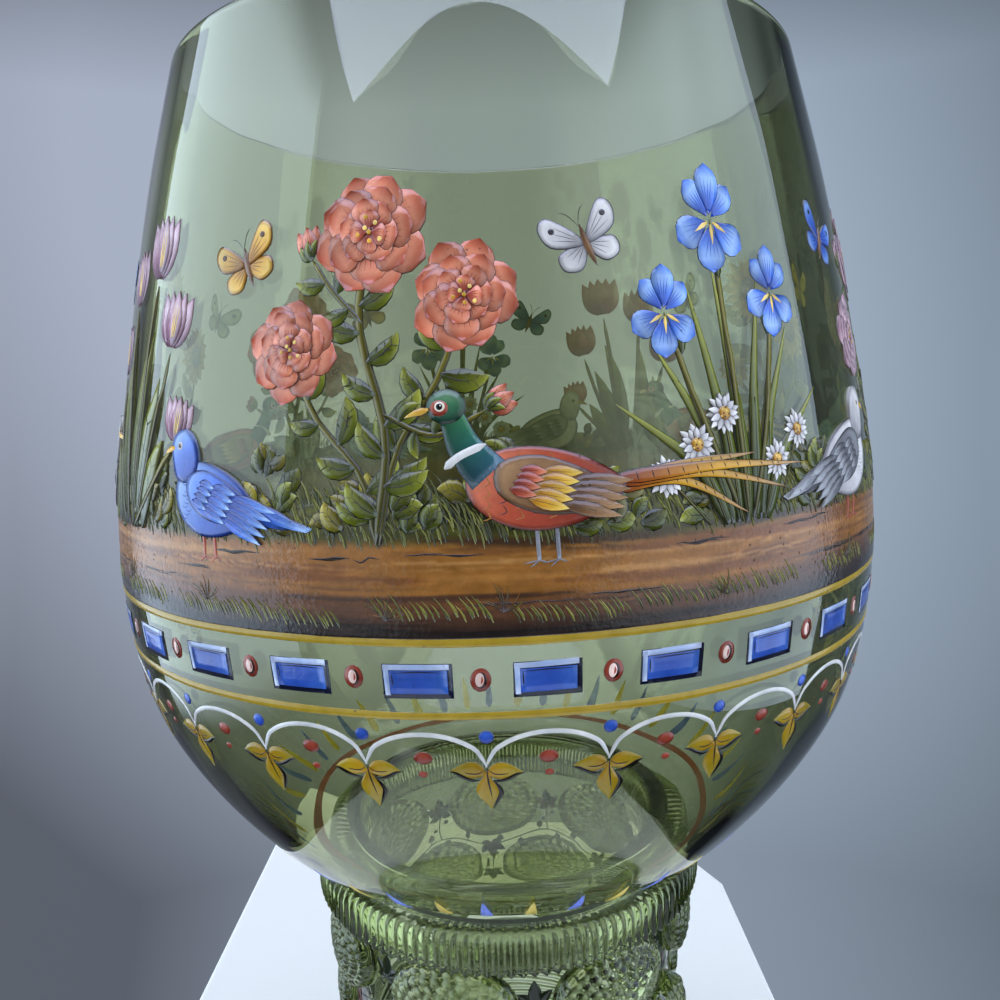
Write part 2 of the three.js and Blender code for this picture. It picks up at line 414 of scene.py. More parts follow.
def prunt_mesh(node):
    """A pressed berry: a low dome set with round nubs, whose back follows the stem."""
    sides, rings, back_rings = 180, 50, 4
    points, theta_middle = cad_points(node)
    z_middle = (points[:, 2].min() + points[:, 2].max()) / 2
    half_height = (points[:, 2].max() - points[:, 2].min()) / 2
    back = np.hypot(points[:, 0], points[:, 1]).min()
    angles = np.arctan2(points[:, 0], -points[:, 1]) - theta_middle
    half_width = np.abs((angles + math.pi) % FULL_TURN - math.pi).max() * back

    outline = ellipse(half_width, half_height, 0, sides)
    centres = nub_centres(half_width, half_height)

    def rise(drawing, reach):
        dome = PRUNT_EDGE + (PRUNT_RISE - PRUNT_EDGE) * np.sqrt(np.maximum(0, 1 - reach**2))
        distance = np.abs(drawing[..., None] - centres).min(axis=-1) / NUB_RADIUS
        nub = NUB_HEIGHT * np.sqrt(np.maximum(0, 1 - distance**2))
        return dome + nub * np.minimum(1, 12 * (1 - reach))

    reach_back = np.linspace(0, 1, back_rings + 1)[1:]
    reach_front = 1 - np.linspace(0, 1, rings + 1)[:-1] ** 1.5
    drawing = np.concatenate([reach_back, reach_front])[:, None] * outline
    lift = np.concatenate([
        np.zeros((back_rings, sides)),
        rise(reach_front[:, None] * outline, reach_front[:, None]),
    ])
    drawing = np.concatenate([drawing.ravel(), [0, 0]])
    lift = np.concatenate([lift.ravel(), [0, PRUNT_RISE + NUB_HEIGHT]])

    theta = theta_middle + drawing.real / back
    z = z_middle + drawing.imag
    radius = stem_radius() + FUSED_GAP + lift
    return around_axis(theta, radius + sway(theta, radius, z), z), shell_faces(back_rings + rings, sides)


# Enamel: every mark is a thin closed solid whose underside lies just inside the glass. A canvas
# remembers how high the paint stands at each place, and a new mark lies on top of what is there.


CELL = 0.3
FIRST_COAT = 0.035
LAYER = 0.003
UNDERSIDE = -0.02
SINK = 0.6  # later marks also lie deeper, so they show on top when they are seen through the glass
VERTEX_SPACING = 1.3
BEVEL = 0.05
PAINT_TILT = 0.6  # the painted rows sit a little askew
# Painted light: how much of that pale tone an underside takes
PAINTED_BACKLIGHT_SHARE = 0.5

FLAT, ROUND = "flat", "round"


def section_of(kind, width):
    """Places across a stroke from -1 to 1, and the height there as a share of the crest. The first
    and last place are the feet."""
    reach = 1 - min(0.3, 2 * BEVEL / width)
    count = max(2 if kind == FLAT else 3, math.ceil(width / VERTEX_SPACING) + 1)
    inner = np.linspace(-reach, reach, count)
    height = np.ones(count) if kind == FLAT else np.sqrt(1 - inner**2)
    return np.concatenate([[-1], inner, [1]]), np.concatenate([[0], height, [0]])


def even(t):
    return np.ones_like(t)


def soft_ends(t):
    return np.maximum(0.03, 1 - np.abs(2 * t - 1) ** 10) ** 0.5


def drop_form(t):
    return np.maximum(0.03, (1 - t) ** 0.7 * np.minimum(1, 5 * t + 0.3))


def hump(least, lean, fullness):
    """A form that swells and narrows again. A lean above 1 moves its widest place towards the end."""
    return lambda t: np.maximum(least, np.sin(math.pi * np.clip(t, 0, 1) ** lean) ** fullness)


leaf_form = hump(0.03, 0.85, 0.9)
petal_form = hump(0.04, 1.5, 0.62)
spear_form = hump(0.03, 1.15, 1.25)
spindle = hump(0.05, 1, 0.8)


class Canvas:
    """A surface that is painted on, with the height of the paint in small cells."""

    def __init__(self, surface):
        self.surface = surface
        self.columns = int(FULL_TURN * surface.radius.max() / CELL)
        self.rows = int(np.ptp(surface.v) / CELL) + 2
        self.height = np.full((self.columns, self.rows), FIRST_COAT)

    def cells(self, theta, v):
        column = np.round(theta / FULL_TURN * self.columns).astype(int) % self.columns
        row = np.round((v - self.surface.v[0]) / CELL).astype(int)
        return column, np.clip(row, 0, self.rows - 1)

    def raise_to(self, cells, height):
        self.height[cells] = np.maximum(self.height[cells], height)


class Enamel:
    """Marks of enamel on a canvas, gathered into one mesh. Their undersides are painted paler, as painted
    light for the light that shines through the enamel.
    """

    def __init__(self, canvas, name, seed, painted_backlight=PAINTED_BACKLIGHT_SHARE):
        self.canvas, self.name, self.painted_backlight = canvas, name, painted_backlight
        self.random = np.random.default_rng(seed)
        self.points, self.colours, self.faces, self.flat = [], [], [], []
        self.total = 0

    def spot(self, degrees, v):
        return Spot(self, math.radians(degrees), v)

    def add(self, theta, v, lift, colours, faces, flip=False):
        points = self.canvas.surface.place(theta.ravel(), v.ravel(), lift.ravel())
        foot = lift.ravel() < 0
        self.flat += [bool(foot[face].all()) for face in faces]
        self.points.append(points)
        # Painted light: the undersides are mixed towards a pale tone
        colours = blend(colours.reshape(-1, 3), PAINTED_BACKLIGHT, foot * self.painted_backlight)
        self.colours.append(np.clip(colours, 0, 255))
        self.faces += [[self.total + k for k in (face[::-1] if flip else face)] for face in faces]
        self.total += len(points)

    def tint(self):
        """A brush load is never quite the same colour twice."""
        return 1 + 0.05 * self.random.standard_normal()

    def band(self, v, v_ripple, width, width_ripple, colour):
        """A line that runs all the way round. A ripple is its height, the number of its waves in a
        turn and a seed."""
        segments, crest = 480, 0.08
        theta = np.arange(segments)[:, None] * FULL_TURN / segments
        half_width = width / 2 * (1 + ripple(theta, *width_ripple))
        across, height = section_of(ROUND, 2 * half_width.mean())
        v = v + ripple(theta, *v_ripple) + half_width * across
        lift = FIRST_COAT + crest * height + 0 * theta
        lift[:, [0, -1]] = UNDERSIDE - SINK * FIRST_COAT
        light = 1 + ripple(theta, 0.08, 60, 5)
        colours = np.array(colour) * light[..., None] * np.ones((1, len(across), 1))
        self.add(theta + 0 * v, v, lift, colours, grid_faces(segments, len(across), True), flip=True)

    def piece(self, material):
        points = np.concatenate(self.points)
        made = new_piece("enamel_" + self.name, points, self.faces, material, "enamel")
        made.data.attributes.new("sharp_face", "BOOLEAN", "FACE").data.foreach_set("value", self.flat)
        paint_points(made, np.concatenate(self.colours))


class Spot:
    """Where a drawing goes on the glass, how far it is turned and how large it is."""

    def __init__(self, paint, theta, v, origin=0, factor=1, flip=False):
        self.paint, self.canvas, self.random = paint, paint.canvas, paint.random
        self.theta, self.v = theta, v
        self.origin, self.factor, self.flip = origin, factor, flip
        self.scale = abs(factor)

    def at(self, point, turn=0, size=1, flip=False):
        """A smaller drawing's place inside this one."""
        step = size * np.exp(1j * math.radians(turn))
        factor = self.factor * (step.conjugate() if self.flip else step)
        return Spot(self.paint, self.theta, self.v, self.map(point), factor, self.flip != flip)

    def mirrored(self):
        return self.at(0, 180, 1, True)

    def map(self, drawing):
        return self.origin + self.factor * (np.conj(drawing) if self.flip else drawing)

    def lay(self, drawing):
        placed = self.map(drawing)
        return self.theta + placed.real / self.canvas.surface.radius_at(self.v), self.v + placed.imag

    def stroke(self, path, width, colour, form=spindle, section=ROUND, steps=8, crest=0.02,
               shade=(0, 0, 0), sink=SINK):
        """A brush stroke along a path. colour is one colour, or several from start to end; shade
        darkens or lightens the left side, the middle and the right side."""
        length = self.scale * np.abs(np.diff(curve(path, 12))).sum()
        fine = max(1, math.ceil(length / (steps - 1) / CELL))
        centre = curve(path, (steps - 1) * fine + 1)
        heading = np.gradient(centre)
        t = np.linspace(0, 1, len(centre))
        side = 1j * heading / np.maximum(np.abs(heading), 1e-9) * width / 2 * form(t)

        over = np.linspace(-1, 1, max(3, math.ceil(width * self.scale / CELL) + 1))
        cells = self.canvas.cells(*self.lay(centre[:, None] + side[:, None] * over))
        beneath = self.canvas.height[cells].max(axis=1)
        near = [beneath[max(0, (k - 1) * fine):(k + 1) * fine + 1] for k in range(steps)]
        level = np.array([heights.max() for heights in near]) + LAYER
        across, height = section_of(section, width * self.scale)
        floor = np.interp(t, np.linspace(0, 1, steps), level)[:, None]
        self.canvas.raise_to(cells, floor + crest * np.interp(over, across, height))

        lift = level[:, None] + crest * height
        lift[:, [0, -1]] = (UNDERSIDE - sink * level)[:, None]
        ramp = np.atleast_2d(colour)
        stops = np.linspace(0, 1, len(ramp))
        tones = np.stack([np.interp(t[::fine], stops, ramp[:, k]) for k in range(3)], axis=-1)
        light = 1 + np.interp(across, (-1, 0, 1), shade[::-1])
        colours = tones[:, None, :] * light[None, :, None] * self.paint.tint()
        theta, v = self.lay(centre[::fine, None] + side[::fine, None] * across)
        start_cap = list(range(len(across)))
        end_cap = [(steps - 1) * len(across) + k for k in reversed(start_cap)]
        faces = grid_faces(steps, len(across)) + [start_cap, end_cap]
        self.paint.add(theta, v, lift, colours, faces, flip=not self.flip)

    def patch(self, outline, colour, steps=22, crest=0.04, sink=SINK):
        """A filled shape. colour is one colour, or a function of the drawing's points and reach."""
        edge = curve(outline, steps, closed=True)
        middle = edge.mean()
        size = self.scale * np.abs(edge - middle).max()

        def dome(reach):
            return np.sqrt(np.maximum(0, 1 - reach**2))

        dense = curve(outline, max(steps, math.ceil(FULL_TURN * size / CELL)), closed=True)
        fine = np.linspace(0, 1, math.ceil(size / CELL) + 2)[:, None]
        cells = self.canvas.cells(*self.lay(middle + (dense - middle) * fine))
        level = self.canvas.height[cells].max() + LAYER
        self.canvas.raise_to(cells, level + crest * dome(fine))

        inner = 1 - min(0.3, BEVEL / size)
        above = np.linspace(inner, 0, max(2, math.ceil(size / VERTEX_SPACING)) + 1)[:-1]
        below = above[:0:-1]
        reach = np.concatenate([below, [1], above])
        drawing = np.append(middle + (edge - middle) * reach[:, None], [middle, middle])
        lift = np.repeat(level + crest * dome(reach), steps)
        bottom = UNDERSIDE - sink * level
        lift[:(len(below) + 1) * steps] = bottom
        lift = np.append(lift, [bottom, level + crest])
        if callable(colour):
            colours = colour(drawing, np.append(np.repeat(reach, steps), [0, 0]))
        else:
            colours = np.tile(colour, (len(drawing), 1))
        theta, v = self.lay(drawing)
        faces = shell_faces(len(reach), steps)
        self.paint.add(theta, v, lift, colours * self.paint.tint(), faces, flip=self.flip)

    def line(self, path, width, colour, steps=5, form=spindle):
        self.stroke(path, width, colour, form, FLAT, steps, 0.002, sink=0)

    def inked(self, path, width, ink, colour, form, steps, shade=(0, 0, 0), edge=0.1):
        """A stroke with a thin dark edge."""
        self.stroke(path, width + 2 * edge, ink, form, FLAT, steps, 0, sink=0)
        self.stroke(path, width, colour, form, ROUND, steps, 0.012, shade)

    def inked_patch(self, outline, ink, colour, steps, edge=0.12):
        out = np.array(outline) - np.mean(outline)
        self.patch(outline + edge * out / np.abs(out), ink, steps, 0, 0)
        self.patch(outline, colour, steps, 0.03)


def blend(low, high, share):
    return low + (np.array(high) - low) * np.clip(share, 0, 1)[..., None]


def paint_points(piece, colours):
    """Stores 8-bit sRGB colours as the linear colour attribute that the enamel reads."""
    share = np.clip(colours, 0, 255) / 255
    linear = np.where(share <= 0.04045, share / 12.92, ((share + 0.055) / 1.055) ** 2.4)
    rgba = np.concatenate([linear, np.ones((len(linear), 1))], axis=1)
    attribute = piece.data.color_attributes.new("paint", "FLOAT_COLOR", "POINT")
    attribute.data.foreach_set("color", rgba.astype(np.float32).ravel())


def cloud(theta, height, around, rise, seed):
    """Soft noise from 0 to 1 that closes on itself round the goblet: around blotches in a full
    turn, each rise high."""
    total = weight = 0
    for octave in range(3):
        columns = around * 2**octave
        lattice = np.random.default_rng(seed + octave).random((columns, 64))
        x = theta / FULL_TURN % 1 * columns
        y = height / rise * 2**octave + 20
        i, j = np.floor(x).astype(int), np.floor(y).astype(int)
        fx, fy = (f * f * (3 - 2 * f) for f in (x - i, y - j))
        i_next, j_next = (i + 1) % columns, (j + 1) % 64
        i, j = i % columns, j % 64
        low = lattice[i, j] * (1 - fx) + lattice[i_next, j] * fx
        high = lattice[i, j_next] * (1 - fx) + lattice[i_next, j_next] * fx
        total = total + (low * (1 - fy) + high * fy) / 2**octave
        weight += 1 / 2**octave
    return total / weight


def ripple(theta, height, around, seed):
    """Soft noise round the goblet, from minus to plus half the height."""
    return height * (cloud(theta, 0 * theta, around, 1, seed) - 0.5)


def ellipse(half_width, half_height, centre=0, points=8):
    turn = np.exp(1j * np.arange(points) * FULL_TURN / points)
    return centre + half_width * turn.real + 1j * half_height * turn.imag


def lit(tones, towards, strength=1.0):
    """Colours a patch from its dark tone to its light tone, and darker at the very edge."""

    def colour(drawing, reach):
        along = (drawing * np.conj(towards) / abs(towards)).real
        share = (along - along.min()) / (np.ptp(along) + 1e-9) * strength
        mixed = blend(blend(np.array(tones[1]), tones[2], share * 2), tones[3], share * 2 - 1)
        return blend(mixed, tones[0], np.clip((reach - 0.9) / 0.1, 0, 1) * 0.55)

    return colour


# Ornament of the lower bowl


ORNAMENT_REPEATS = 27
ORNAMENT_PITCH = 360 / ORNAMENT_REPEATS
GEM_PHASE = 4.9
CUSP_PHASE = GEM_PHASE - ORNAMENT_PITCH / 2
UPPER_LINE_V = -3.6
LOWER_LINE_V = -14.1
LINE_WIDTH = 1.2
GEM_V = -9.0
BEAD_V = -8.7
CUSP_V = -22.0
ARCH_RISE = 5.2
ARCH_WIDTH = 0.72


def painted_lines(canvas):
    paint = Enamel(canvas, "lines", 11)
    for v, seed in ((UPPER_LINE_V, 3), (LOWER_LINE_V, 4)):
        paint.band(v, (0.3, 18, seed), LINE_WIDTH, (0.2, 40, seed + 9), LINE_OCHRE)
    yield paint


def repeats(paint, phase, v):
    return [paint.spot(phase + k * ORNAMENT_PITCH, v) for k in range(ORNAMENT_REPEATS)]


def gem(spot):
    """A table-cut stone: cobalt, lit along its top and left, and dark along the rest."""
    jitter = spot.random.normal(0, 0.12, 6)
    left, right = -4.8 + jitter[0], 4.8 + jitter[1]
    spot.stroke([left, right], 5, (16, 20, 44), even, FLAT, 9, 0.05)
    pale = [(176, 190, 222), (150, 172, 216), (186, 198, 228)]
    top = 2.05 + jitter[2] / 2
    spot.stroke([left + 0.12 + 2.02j, right - 0.45 + top * 1j], 0.86, pale, even, FLAT, 8, 0.006)
    spot.stroke([left + 0.52 + 2.3j, left + 0.62 - 2j], 0.8, pale, even, FLAT, 5, 0.006)
    fill = [(46, 82, 168), (36, 70, 158), (56, 96, 180)]
    spot.stroke([left + 0.94 - 0.12j, right - 0.72 - 0.1j], 3.4, fill, even, FLAT, 8, 0.008, (0, 0, 0.1))
    ink = (14, 18, 46)
    bow = [left + 1.2 + 1.2j, jitter[3] + (1.35 + jitter[4] / 2) * 1j, right - 0.95 + 1.25j]
    spot.line(bow, 0.26, ink, 8)
    spot.line([left + 1.3 + 1.2j, left + 1.38 + (jitter[5] - 0.9) * 1j], 0.3, ink, 4)


def bead(spot):
    spot.patch(ellipse(1.42, 1.72), lit(RUST, 1j - 0.5, 0.55), 22, 0.07)
    spot.patch(ellipse(0.86, 1.2, 0.05), (46, 18, 14), 16, 0.004)
    spot.patch(ellipse(0.62, 1.06, -0.14 + 0.04j), (226, 196, 188), 16, 0.02)
    spot.stroke([0.12 + 0.6j, 0.2 + 0j, 0.05 - 0.55j], 0.42, (150, 62, 46), spindle, ROUND, 5, 0.008)


def gems_and_beads(canvas):
    gems, beads = Enamel(canvas, "gems", 21), Enamel(canvas, "beads", 22)
    for here, after in zip(repeats(gems, GEM_PHASE, GEM_V), repeats(beads, CUSP_PHASE, BEAD_V)):
        gem(here.at(0, gems.random.normal(0, 0.8)))
        shift = beads.random.normal(0, 0.15) + 1j * beads.random.normal(0, 0.12)
        bead(after.at(shift, beads.random.normal(0, 4)))
    yield gems
    yield beads


def arches(canvas):
    paint = Enamel(canvas, "arches", 31)
    half = math.radians(ORNAMENT_PITCH / 2) * canvas.surface.radius_at(CUSP_V)
    u = np.linspace(-1, 1, 15)
    form = np.maximum(0, 1 - np.abs(u) ** 2.1) ** 0.56
    white = [(186, 188, 194), (212, 214, 216), (192, 195, 200), (216, 217, 219), (188, 190, 198)]
    for spot in repeats(paint, GEM_PHASE, CUSP_V):
        wobble = paint.random.normal(0, 0.1, 2)
        path = (half + 0.1) * u + 1j * ((ARCH_RISE + wobble[0]) * form + wobble[1] * (1 - u**2))
        spot.stroke(path, ARCH_WIDTH, white, soft_ends, ROUND, 30, 0.07)
    yield paint


UNDER_LEAF = [(0.75, -2.15), (2, -2.15), (3.3, -1.6), (4.3, -0.95), (5.3, -0.75)]


def trefoil(spot):
    """Three leaves that hang from a cusp, inked on their lower sides."""
    gold = [(148, 112, 18), (156, 124, 22), (150, 126, 24), (138, 122, 32)]
    ink = (20, 14, 8)
    wobble = spot.random.normal(0, 0.12, 3)
    for side in (-1, 1):
        tip = side * (5.0 + wobble[0]) + (-0.75 + wobble[1]) * 1j
        path = [side * 0.1 - 1.15j, side * 1.5 - 0.55j, side * 3.0 - 0.45j, tip]
        spot.stroke(path, 2.75, gold, leaf_form, ROUND, 12, 0.025)
    middle = [0 - 0.5j, 0.05 - 2.6j, 0.3 - 4.6j, (0.7 + wobble[2]) - 7.4j]
    spot.stroke(middle, 3.3, gold, spear_form, ROUND, 12, 0.025)
    for side in (-1, 1):
        under = [side * x + y * 1j for x, y in UNDER_LEAF]
        spot.line(under, 0.68, ink, 11)
        vein = [side * 0.1 - 0.2j, side * 1.1 - 0.95j, side * 2.3 - 1.0j, side * 3.1 - 0.8j]
        spot.line(vein, 0.28, ink, 9)
    spot.line([0.02 + 0j, 0.3 - 2.4j, 0.9 - 5.6j], 0.34, ink, 7)
    spot.line([0.95 - 2.1j, 1.75 - 3.2j, 2.1 - 4.3j, 1.7 - 5.6j, 0.95 - 7.3j], 0.74, ink, 12)


def leaves_and_dots(canvas):
    leaves, dots = Enamel(canvas, "trefoils", 41), Enamel(canvas, "dots", 42)
    for cusp, apex, over_cusp in zip(
        repeats(leaves, CUSP_PHASE, CUSP_V),
        repeats(dots, GEM_PHASE, CUSP_V),
        repeats(dots, CUSP_PHASE, CUSP_V),
    ):
        trefoil(cusp.at(-0.15j, leaves.random.normal(0, 2)))
        shift = dots.random.normal(0, 0.18, 6)
        big = ellipse(1.36, 1.02, shift[0] + (1.5 + shift[1]) * 1j)
        apex.patch(big, lit(RUST, 1j, 0.45), 18, 0.05)
        apex.patch(ellipse(0.68, 0.56, shift[2] - 1.3j), lit(RUST, 1j, 0.45), 14, 0.05)
        blue = ellipse(1.02, 1.0, shift[3] + (4.9 + shift[4] / 2) * 1j)
        over_cusp.patch(blue, lit(BLUE, 1j - 0.3, 0.55), 18, 0.05)
    yield leaves
    yield dots


# Underside of the bowl


UNDER_RING_RADIUS = 44.5
UNDER_RING_WIDTH = 1.6
UNDER_STROKES = 42
STROKE_INNER_RADIUS = 47
STROKE_LENGTH = 11


def underside_ring(canvas):
    paint = Enamel(canvas, "under_ring", 51, painted_backlight=0)
    v = canvas.surface.v_at_radius(UNDER_RING_RADIUS)
    # Painted light: the ring is painted much paler than its own brown, to make up for light lost in the
    # glass it is seen through
    paint.band(v, (0.5, 9, 8), UNDER_RING_WIDTH, (0.3, 30, 12), (188, 112, 112))
    yield paint


def underside_strokes(canvas):
    """Teardrops that point outwards from the ring, blue and yellow in turn."""
    paint = Enamel(canvas, "under_strokes", 52, painted_backlight=0)
    v = canvas.surface.v_at_radius(STROKE_INNER_RADIUS)
    for k in range(UNDER_STROKES):
        shift = paint.random.normal(0, 0.25, 3)
        # Painted light: the blue and yellow are painted paler than their own colours, to make up for light
        # lost in the glass they are seen through
        tones = [(112, 134, 255), (130, 150, 255)] if k % 2 else [(232, 204, 100), (240, 214, 124)]
        length = STROKE_LENGTH + 2 * shift[0]
        spot = paint.spot((k + 0.5) * 360 / UNDER_STROKES + shift[1], v)
        spot.stroke([0, length * 0.5j + shift[2], length * 1j], 2.5, tones, drop_form, ROUND, 10)
    yield paint


# Vine on the stem


VINE_Z = 71
VINE_SWING = 2.4
PRUNTS_IN_ROW = 7


def vine_leaf(spot, length, tones):
    """A broad leaf with five pointed lobes."""
    for turn, size in ((104, 0.6), (-104, 0.6), (52, 0.85), (-52, 0.85), (0, 1)):
        lobe = spot.at(0, turn, size)
        lobe.stroke([0, length * 0.5, length], length * 0.52, tones[1:3], leaf_form, ROUND, 7)


def side_shoot(spot, reach, tones):
    """A stalk with one large leaf and two buds."""
    spot.line([0, 0.5 + reach * 0.5j, reach * 1j], 0.3, tones[1], 6, even)
    vine_leaf(spot.at(reach * 1j, 90 + spot.random.normal(0, 8)), 5.2, tones)
    for place in (1.5 + reach * 0.45j, -1.4 + reach * 0.7j):
        spot.at(place).patch(ellipse(0.6, 0.55), tones[2], 10, 0.03)


def stem_vine(canvas, first_prunt):
    """A running vine that passes below the upper prunts and above the lower ones."""
    paint = Enamel(canvas, "stem_vine", 61, painted_backlight=0)
    green = ((8, 12, 4), (14, 20, 6), (24, 32, 10))
    brown = ((34, 12, 6), (58, 22, 14), (84, 36, 26))

    def height(degrees):
        return VINE_Z - VINE_SWING * math.cos(math.radians(PRUNTS_IN_ROW * (degrees - first_prunt)))

    steps = PRUNTS_IN_ROW * 6
    reach = math.radians(360 / steps) * canvas.surface.radius_at(VINE_Z)
    for k in range(steps):
        start = first_prunt + k * 360 / steps
        spot = paint.spot(start, height(start))
        rise = [height(start + share * 360 / steps) - height(start) for share in (0.5, 1)]
        spot.line([0, reach / 2 + rise[0] * 1j, reach + rise[1] * 1j], 0.32, green[1], 6, even)
        side = 1 if k % 2 else -1
        tones = brown if k % 3 == 0 else green
        stalk = spot.at(reach * 0.5 + rise[0] * 1j, side * 80 + paint.random.normal(0, 12))
        stalk.line([0, 0.5, 1], 0.25, green[1], 4, even)
        stalk.stroke([0.6, 1.7, 2.8], 1.8, tones[1:3], leaf_form, ROUND, 7)
    for k in range(PRUNTS_IN_ROW):
        low = first_prunt + k * 360 / PRUNTS_IN_ROW
        vine_leaf(paint.spot(low, height(low) + 0.4).at(0, -90 + paint.random.normal(0, 8)), 5.6, brown)
        side_shoot(paint.spot(low, height(low)).at(0, 180), 7.5, brown if k % 2 else green)
        high = low + 180 / PRUNTS_IN_ROW
        side_shoot(paint.spot(high, height(high)), 7, green)
    yield paint


# Ground of the frieze


GROUND_LOW_V = -3.3
GROUND_TOP_V = 15.2
GROUND_LIFT = 0.1
GROUND_FOOT = (36, 26, 23)
GROUND_LAYERS = [  # tone, the height at which it begins and how soon it is complete
    ((86, 54, 34), -2.2, 2.4),
    ((104, 64, 32), 0.9, 1.4),
    ((140, 91, 36), 1.9, 1.2),
    ((66, 68, 20), 8.8, 1.4),
]
GROUND_STREAKS = [  # tone, lowest and highest v, patches in a full turn, their height
    ((58, 40, 32), -3.6, 0.6, 16, 0.9),
    ((24, 19, 18), -3.6, -0.4, 22, 0.8),
    ((112, 72, 46), 0, 3.2, 18, 0.8),
    ((60, 38, 28), 0.4, 3.8, 24, 0.6),
    ((160, 108, 50), 3.4, 9.2, 12, 1.2),
    ((112, 66, 28), 3, 9.6, 17, 0.8),
    ((172, 124, 70), 4, 8.6, 22, 0.5),
    ((56, 36, 22), 8, 11, 16, 1),
    ((92, 92, 28), 10.4, 20, 60, 1.6),
    ((36, 38, 14), 10.4, 20, 44, 2.2),
]


def ground_colours(theta, v):
    """Painted earth: a dark foot, brown soil, an ochre path and mossy turf behind it."""
    height = v + 3 * (cloud(theta, v, 14, 30, 101) - 0.5)
    colour = np.array(GROUND_FOOT)
    for tone, start, over in GROUND_LAYERS:
        colour = blend(colour, tone, (height - start) / over)
    for k, (tone, low, high, around, rise) in enumerate(GROUND_STREAKS):
        inside = np.clip(height - low, 0, 1) * np.clip(high - height, 0, 1)
        patches = np.clip((cloud(theta, v, around, rise, 200 + 7 * k) - 0.54) * 9, 0, 1)
        colour = blend(colour, tone, 0.85 * inside * patches)
    return colour * (0.88 + 0.24 * cloud(theta, v, 150, 0.9, 121))[..., None]


def ground(canvas, material):
    """One raised band of thick enamel all the way round."""
    columns, rows = 1500, 54
    theta = np.arange(columns)[:, None] * FULL_TURN / columns
    share = np.linspace(0, 1, rows)
    v = GROUND_LOW_V + (GROUND_TOP_V + ripple(theta, 5, 44, 141) - GROUND_LOW_V) * share
    fine, broad = cloud(theta + 0 * v, v, 170, 1.3, 151), cloud(theta + 0 * v, v, 60, 5, 161)
    lift = GROUND_LIFT + 0.06 * (fine - 0.5) + 0.05 * (broad - 0.5) - 0.05 * share**6
    lift[:, [0, -1]] = UNDERSIDE
    dense = np.linspace(0, FULL_TURN, 2 * canvas.columns)[:, None]
    whole = np.linspace(GROUND_LOW_V, GROUND_TOP_V + 2, 3 * rows)
    canvas.raise_to(canvas.cells(dense, whole), GROUND_LIFT + 0.045)

    back = v[:, :1] + (v[:, -1:] - v[:, :1]) * np.array([0.75, 0.5, 0.25])
    v = np.concatenate([v, back], axis=1)
    lift = np.concatenate([lift, np.full(back.shape, UNDERSIDE)], axis=1)
    theta = theta + 0 * v
    points = canvas.surface.place(theta.ravel(), v.ravel(), lift.ravel())
    faces = [face[::-1] for face in grid_faces(columns, v.shape[1], True)]
    piece = new_piece("enamel_ground", points, faces, material, "enamel")
    # Painted light: the band's underside is mixed towards a pale tone
    colours = blend(ground_colours(theta, v), PAINTED_BACKLIGHT, (lift < 0) * PAINTED_BACKLIGHT_SHARE)
    paint_points(piece, colours.reshape(-1, 3))


CRACKS = 34
TURF_BLADES = 3800
TUFTS = 26
TUFT_BLADES = 24
SPRAYS = 18
SPRAY_BLADES = 10


def earth_cracks(canvas):
    """Thin dark cracks in the path."""
    paint = Enamel(canvas, "cracks", 72)
    draw = paint.random
    for k in range(CRACKS):
        spot = paint.spot(k * 360 / CRACKS + draw.normal(0, 3), draw.uniform(1.5, 9))
        for branch in range(3):
            reach = draw.uniform(3, 8)
            bow = draw.normal(0, 0.14, 3)
            path = [0, reach * 0.3 + bow[0] * 1j, reach * 0.6 + bow[1] * 1j, reach + bow[2] * 1j]
            spot.at(branch * draw.uniform(1, 4)).line(path, draw.uniform(0.18, 0.4), BROWN[0], 10)
    yield paint


def grass(canvas):
    """Hatched turf behind the path, and short tufts along its front edge."""
    paint = Enamel(canvas, "grass", 71)
    draw = paint.random
    places = draw.uniform(0, 360, TURF_BLADES)
    mounds = cloud(np.radians(places), 0 * places, 24, 1, 75)
    for k in range(TURF_BLADES):
        spot = paint.spot(places[k], 14.5 - 5.5 * k / TURF_BLADES + draw.normal(0, 0.4))
        height = draw.uniform(1.6, 3.6) * (0.7 + 0.7 * mounds[k])
        lean = -0.45 * height + draw.normal(0, 0.3)
        tone = [MOSS[draw.integers(0, 3)], MOSS[draw.integers(1, 4)]]
        spot.line([0, lean * 0.3 + height * 0.55j, lean + height * 1j], 0.4, tone, 5, drop_form)
    for k in range(TUFTS):
        start = paint.spot(k * 360 / TUFTS + draw.normal(0, 3), draw.uniform(-1.6, 0.2))
        for blade in range(TUFT_BLADES):
            spot = start.at(0.65 * blade + draw.normal(0, 0.25) + draw.normal(0, 0.25) * 1j)
            height = draw.uniform(1.6, 3.2)
            tone = [MOSS[draw.integers(0, 3)], MOSS[draw.integers(2, 4)]]
            spot.line([0, (-0.2 + 0.5j) * height, (-0.6 + 1j) * height], 0.46, tone, 4, drop_form)
    for k in range(SPRAYS):
        spot = paint.spot(k * 360 / SPRAYS + 7 + draw.normal(0, 3), draw.uniform(-0.8, 1))
        for blade in range(SPRAY_BLADES):
            tip = draw.uniform(2, 4.2) * np.exp(1j * math.radians(20 + 15 * blade + draw.normal(0, 5)))
            tone = [BROWN[0], (MOSS[2], OCHRE[1])[blade % 2]]
            spot.line([0, tip * (0.6 - 0.08j), tip], 0.3, tone, 4, drop_form)
    yield paint


# Leaves, flowers, birds and butterflies of the frieze


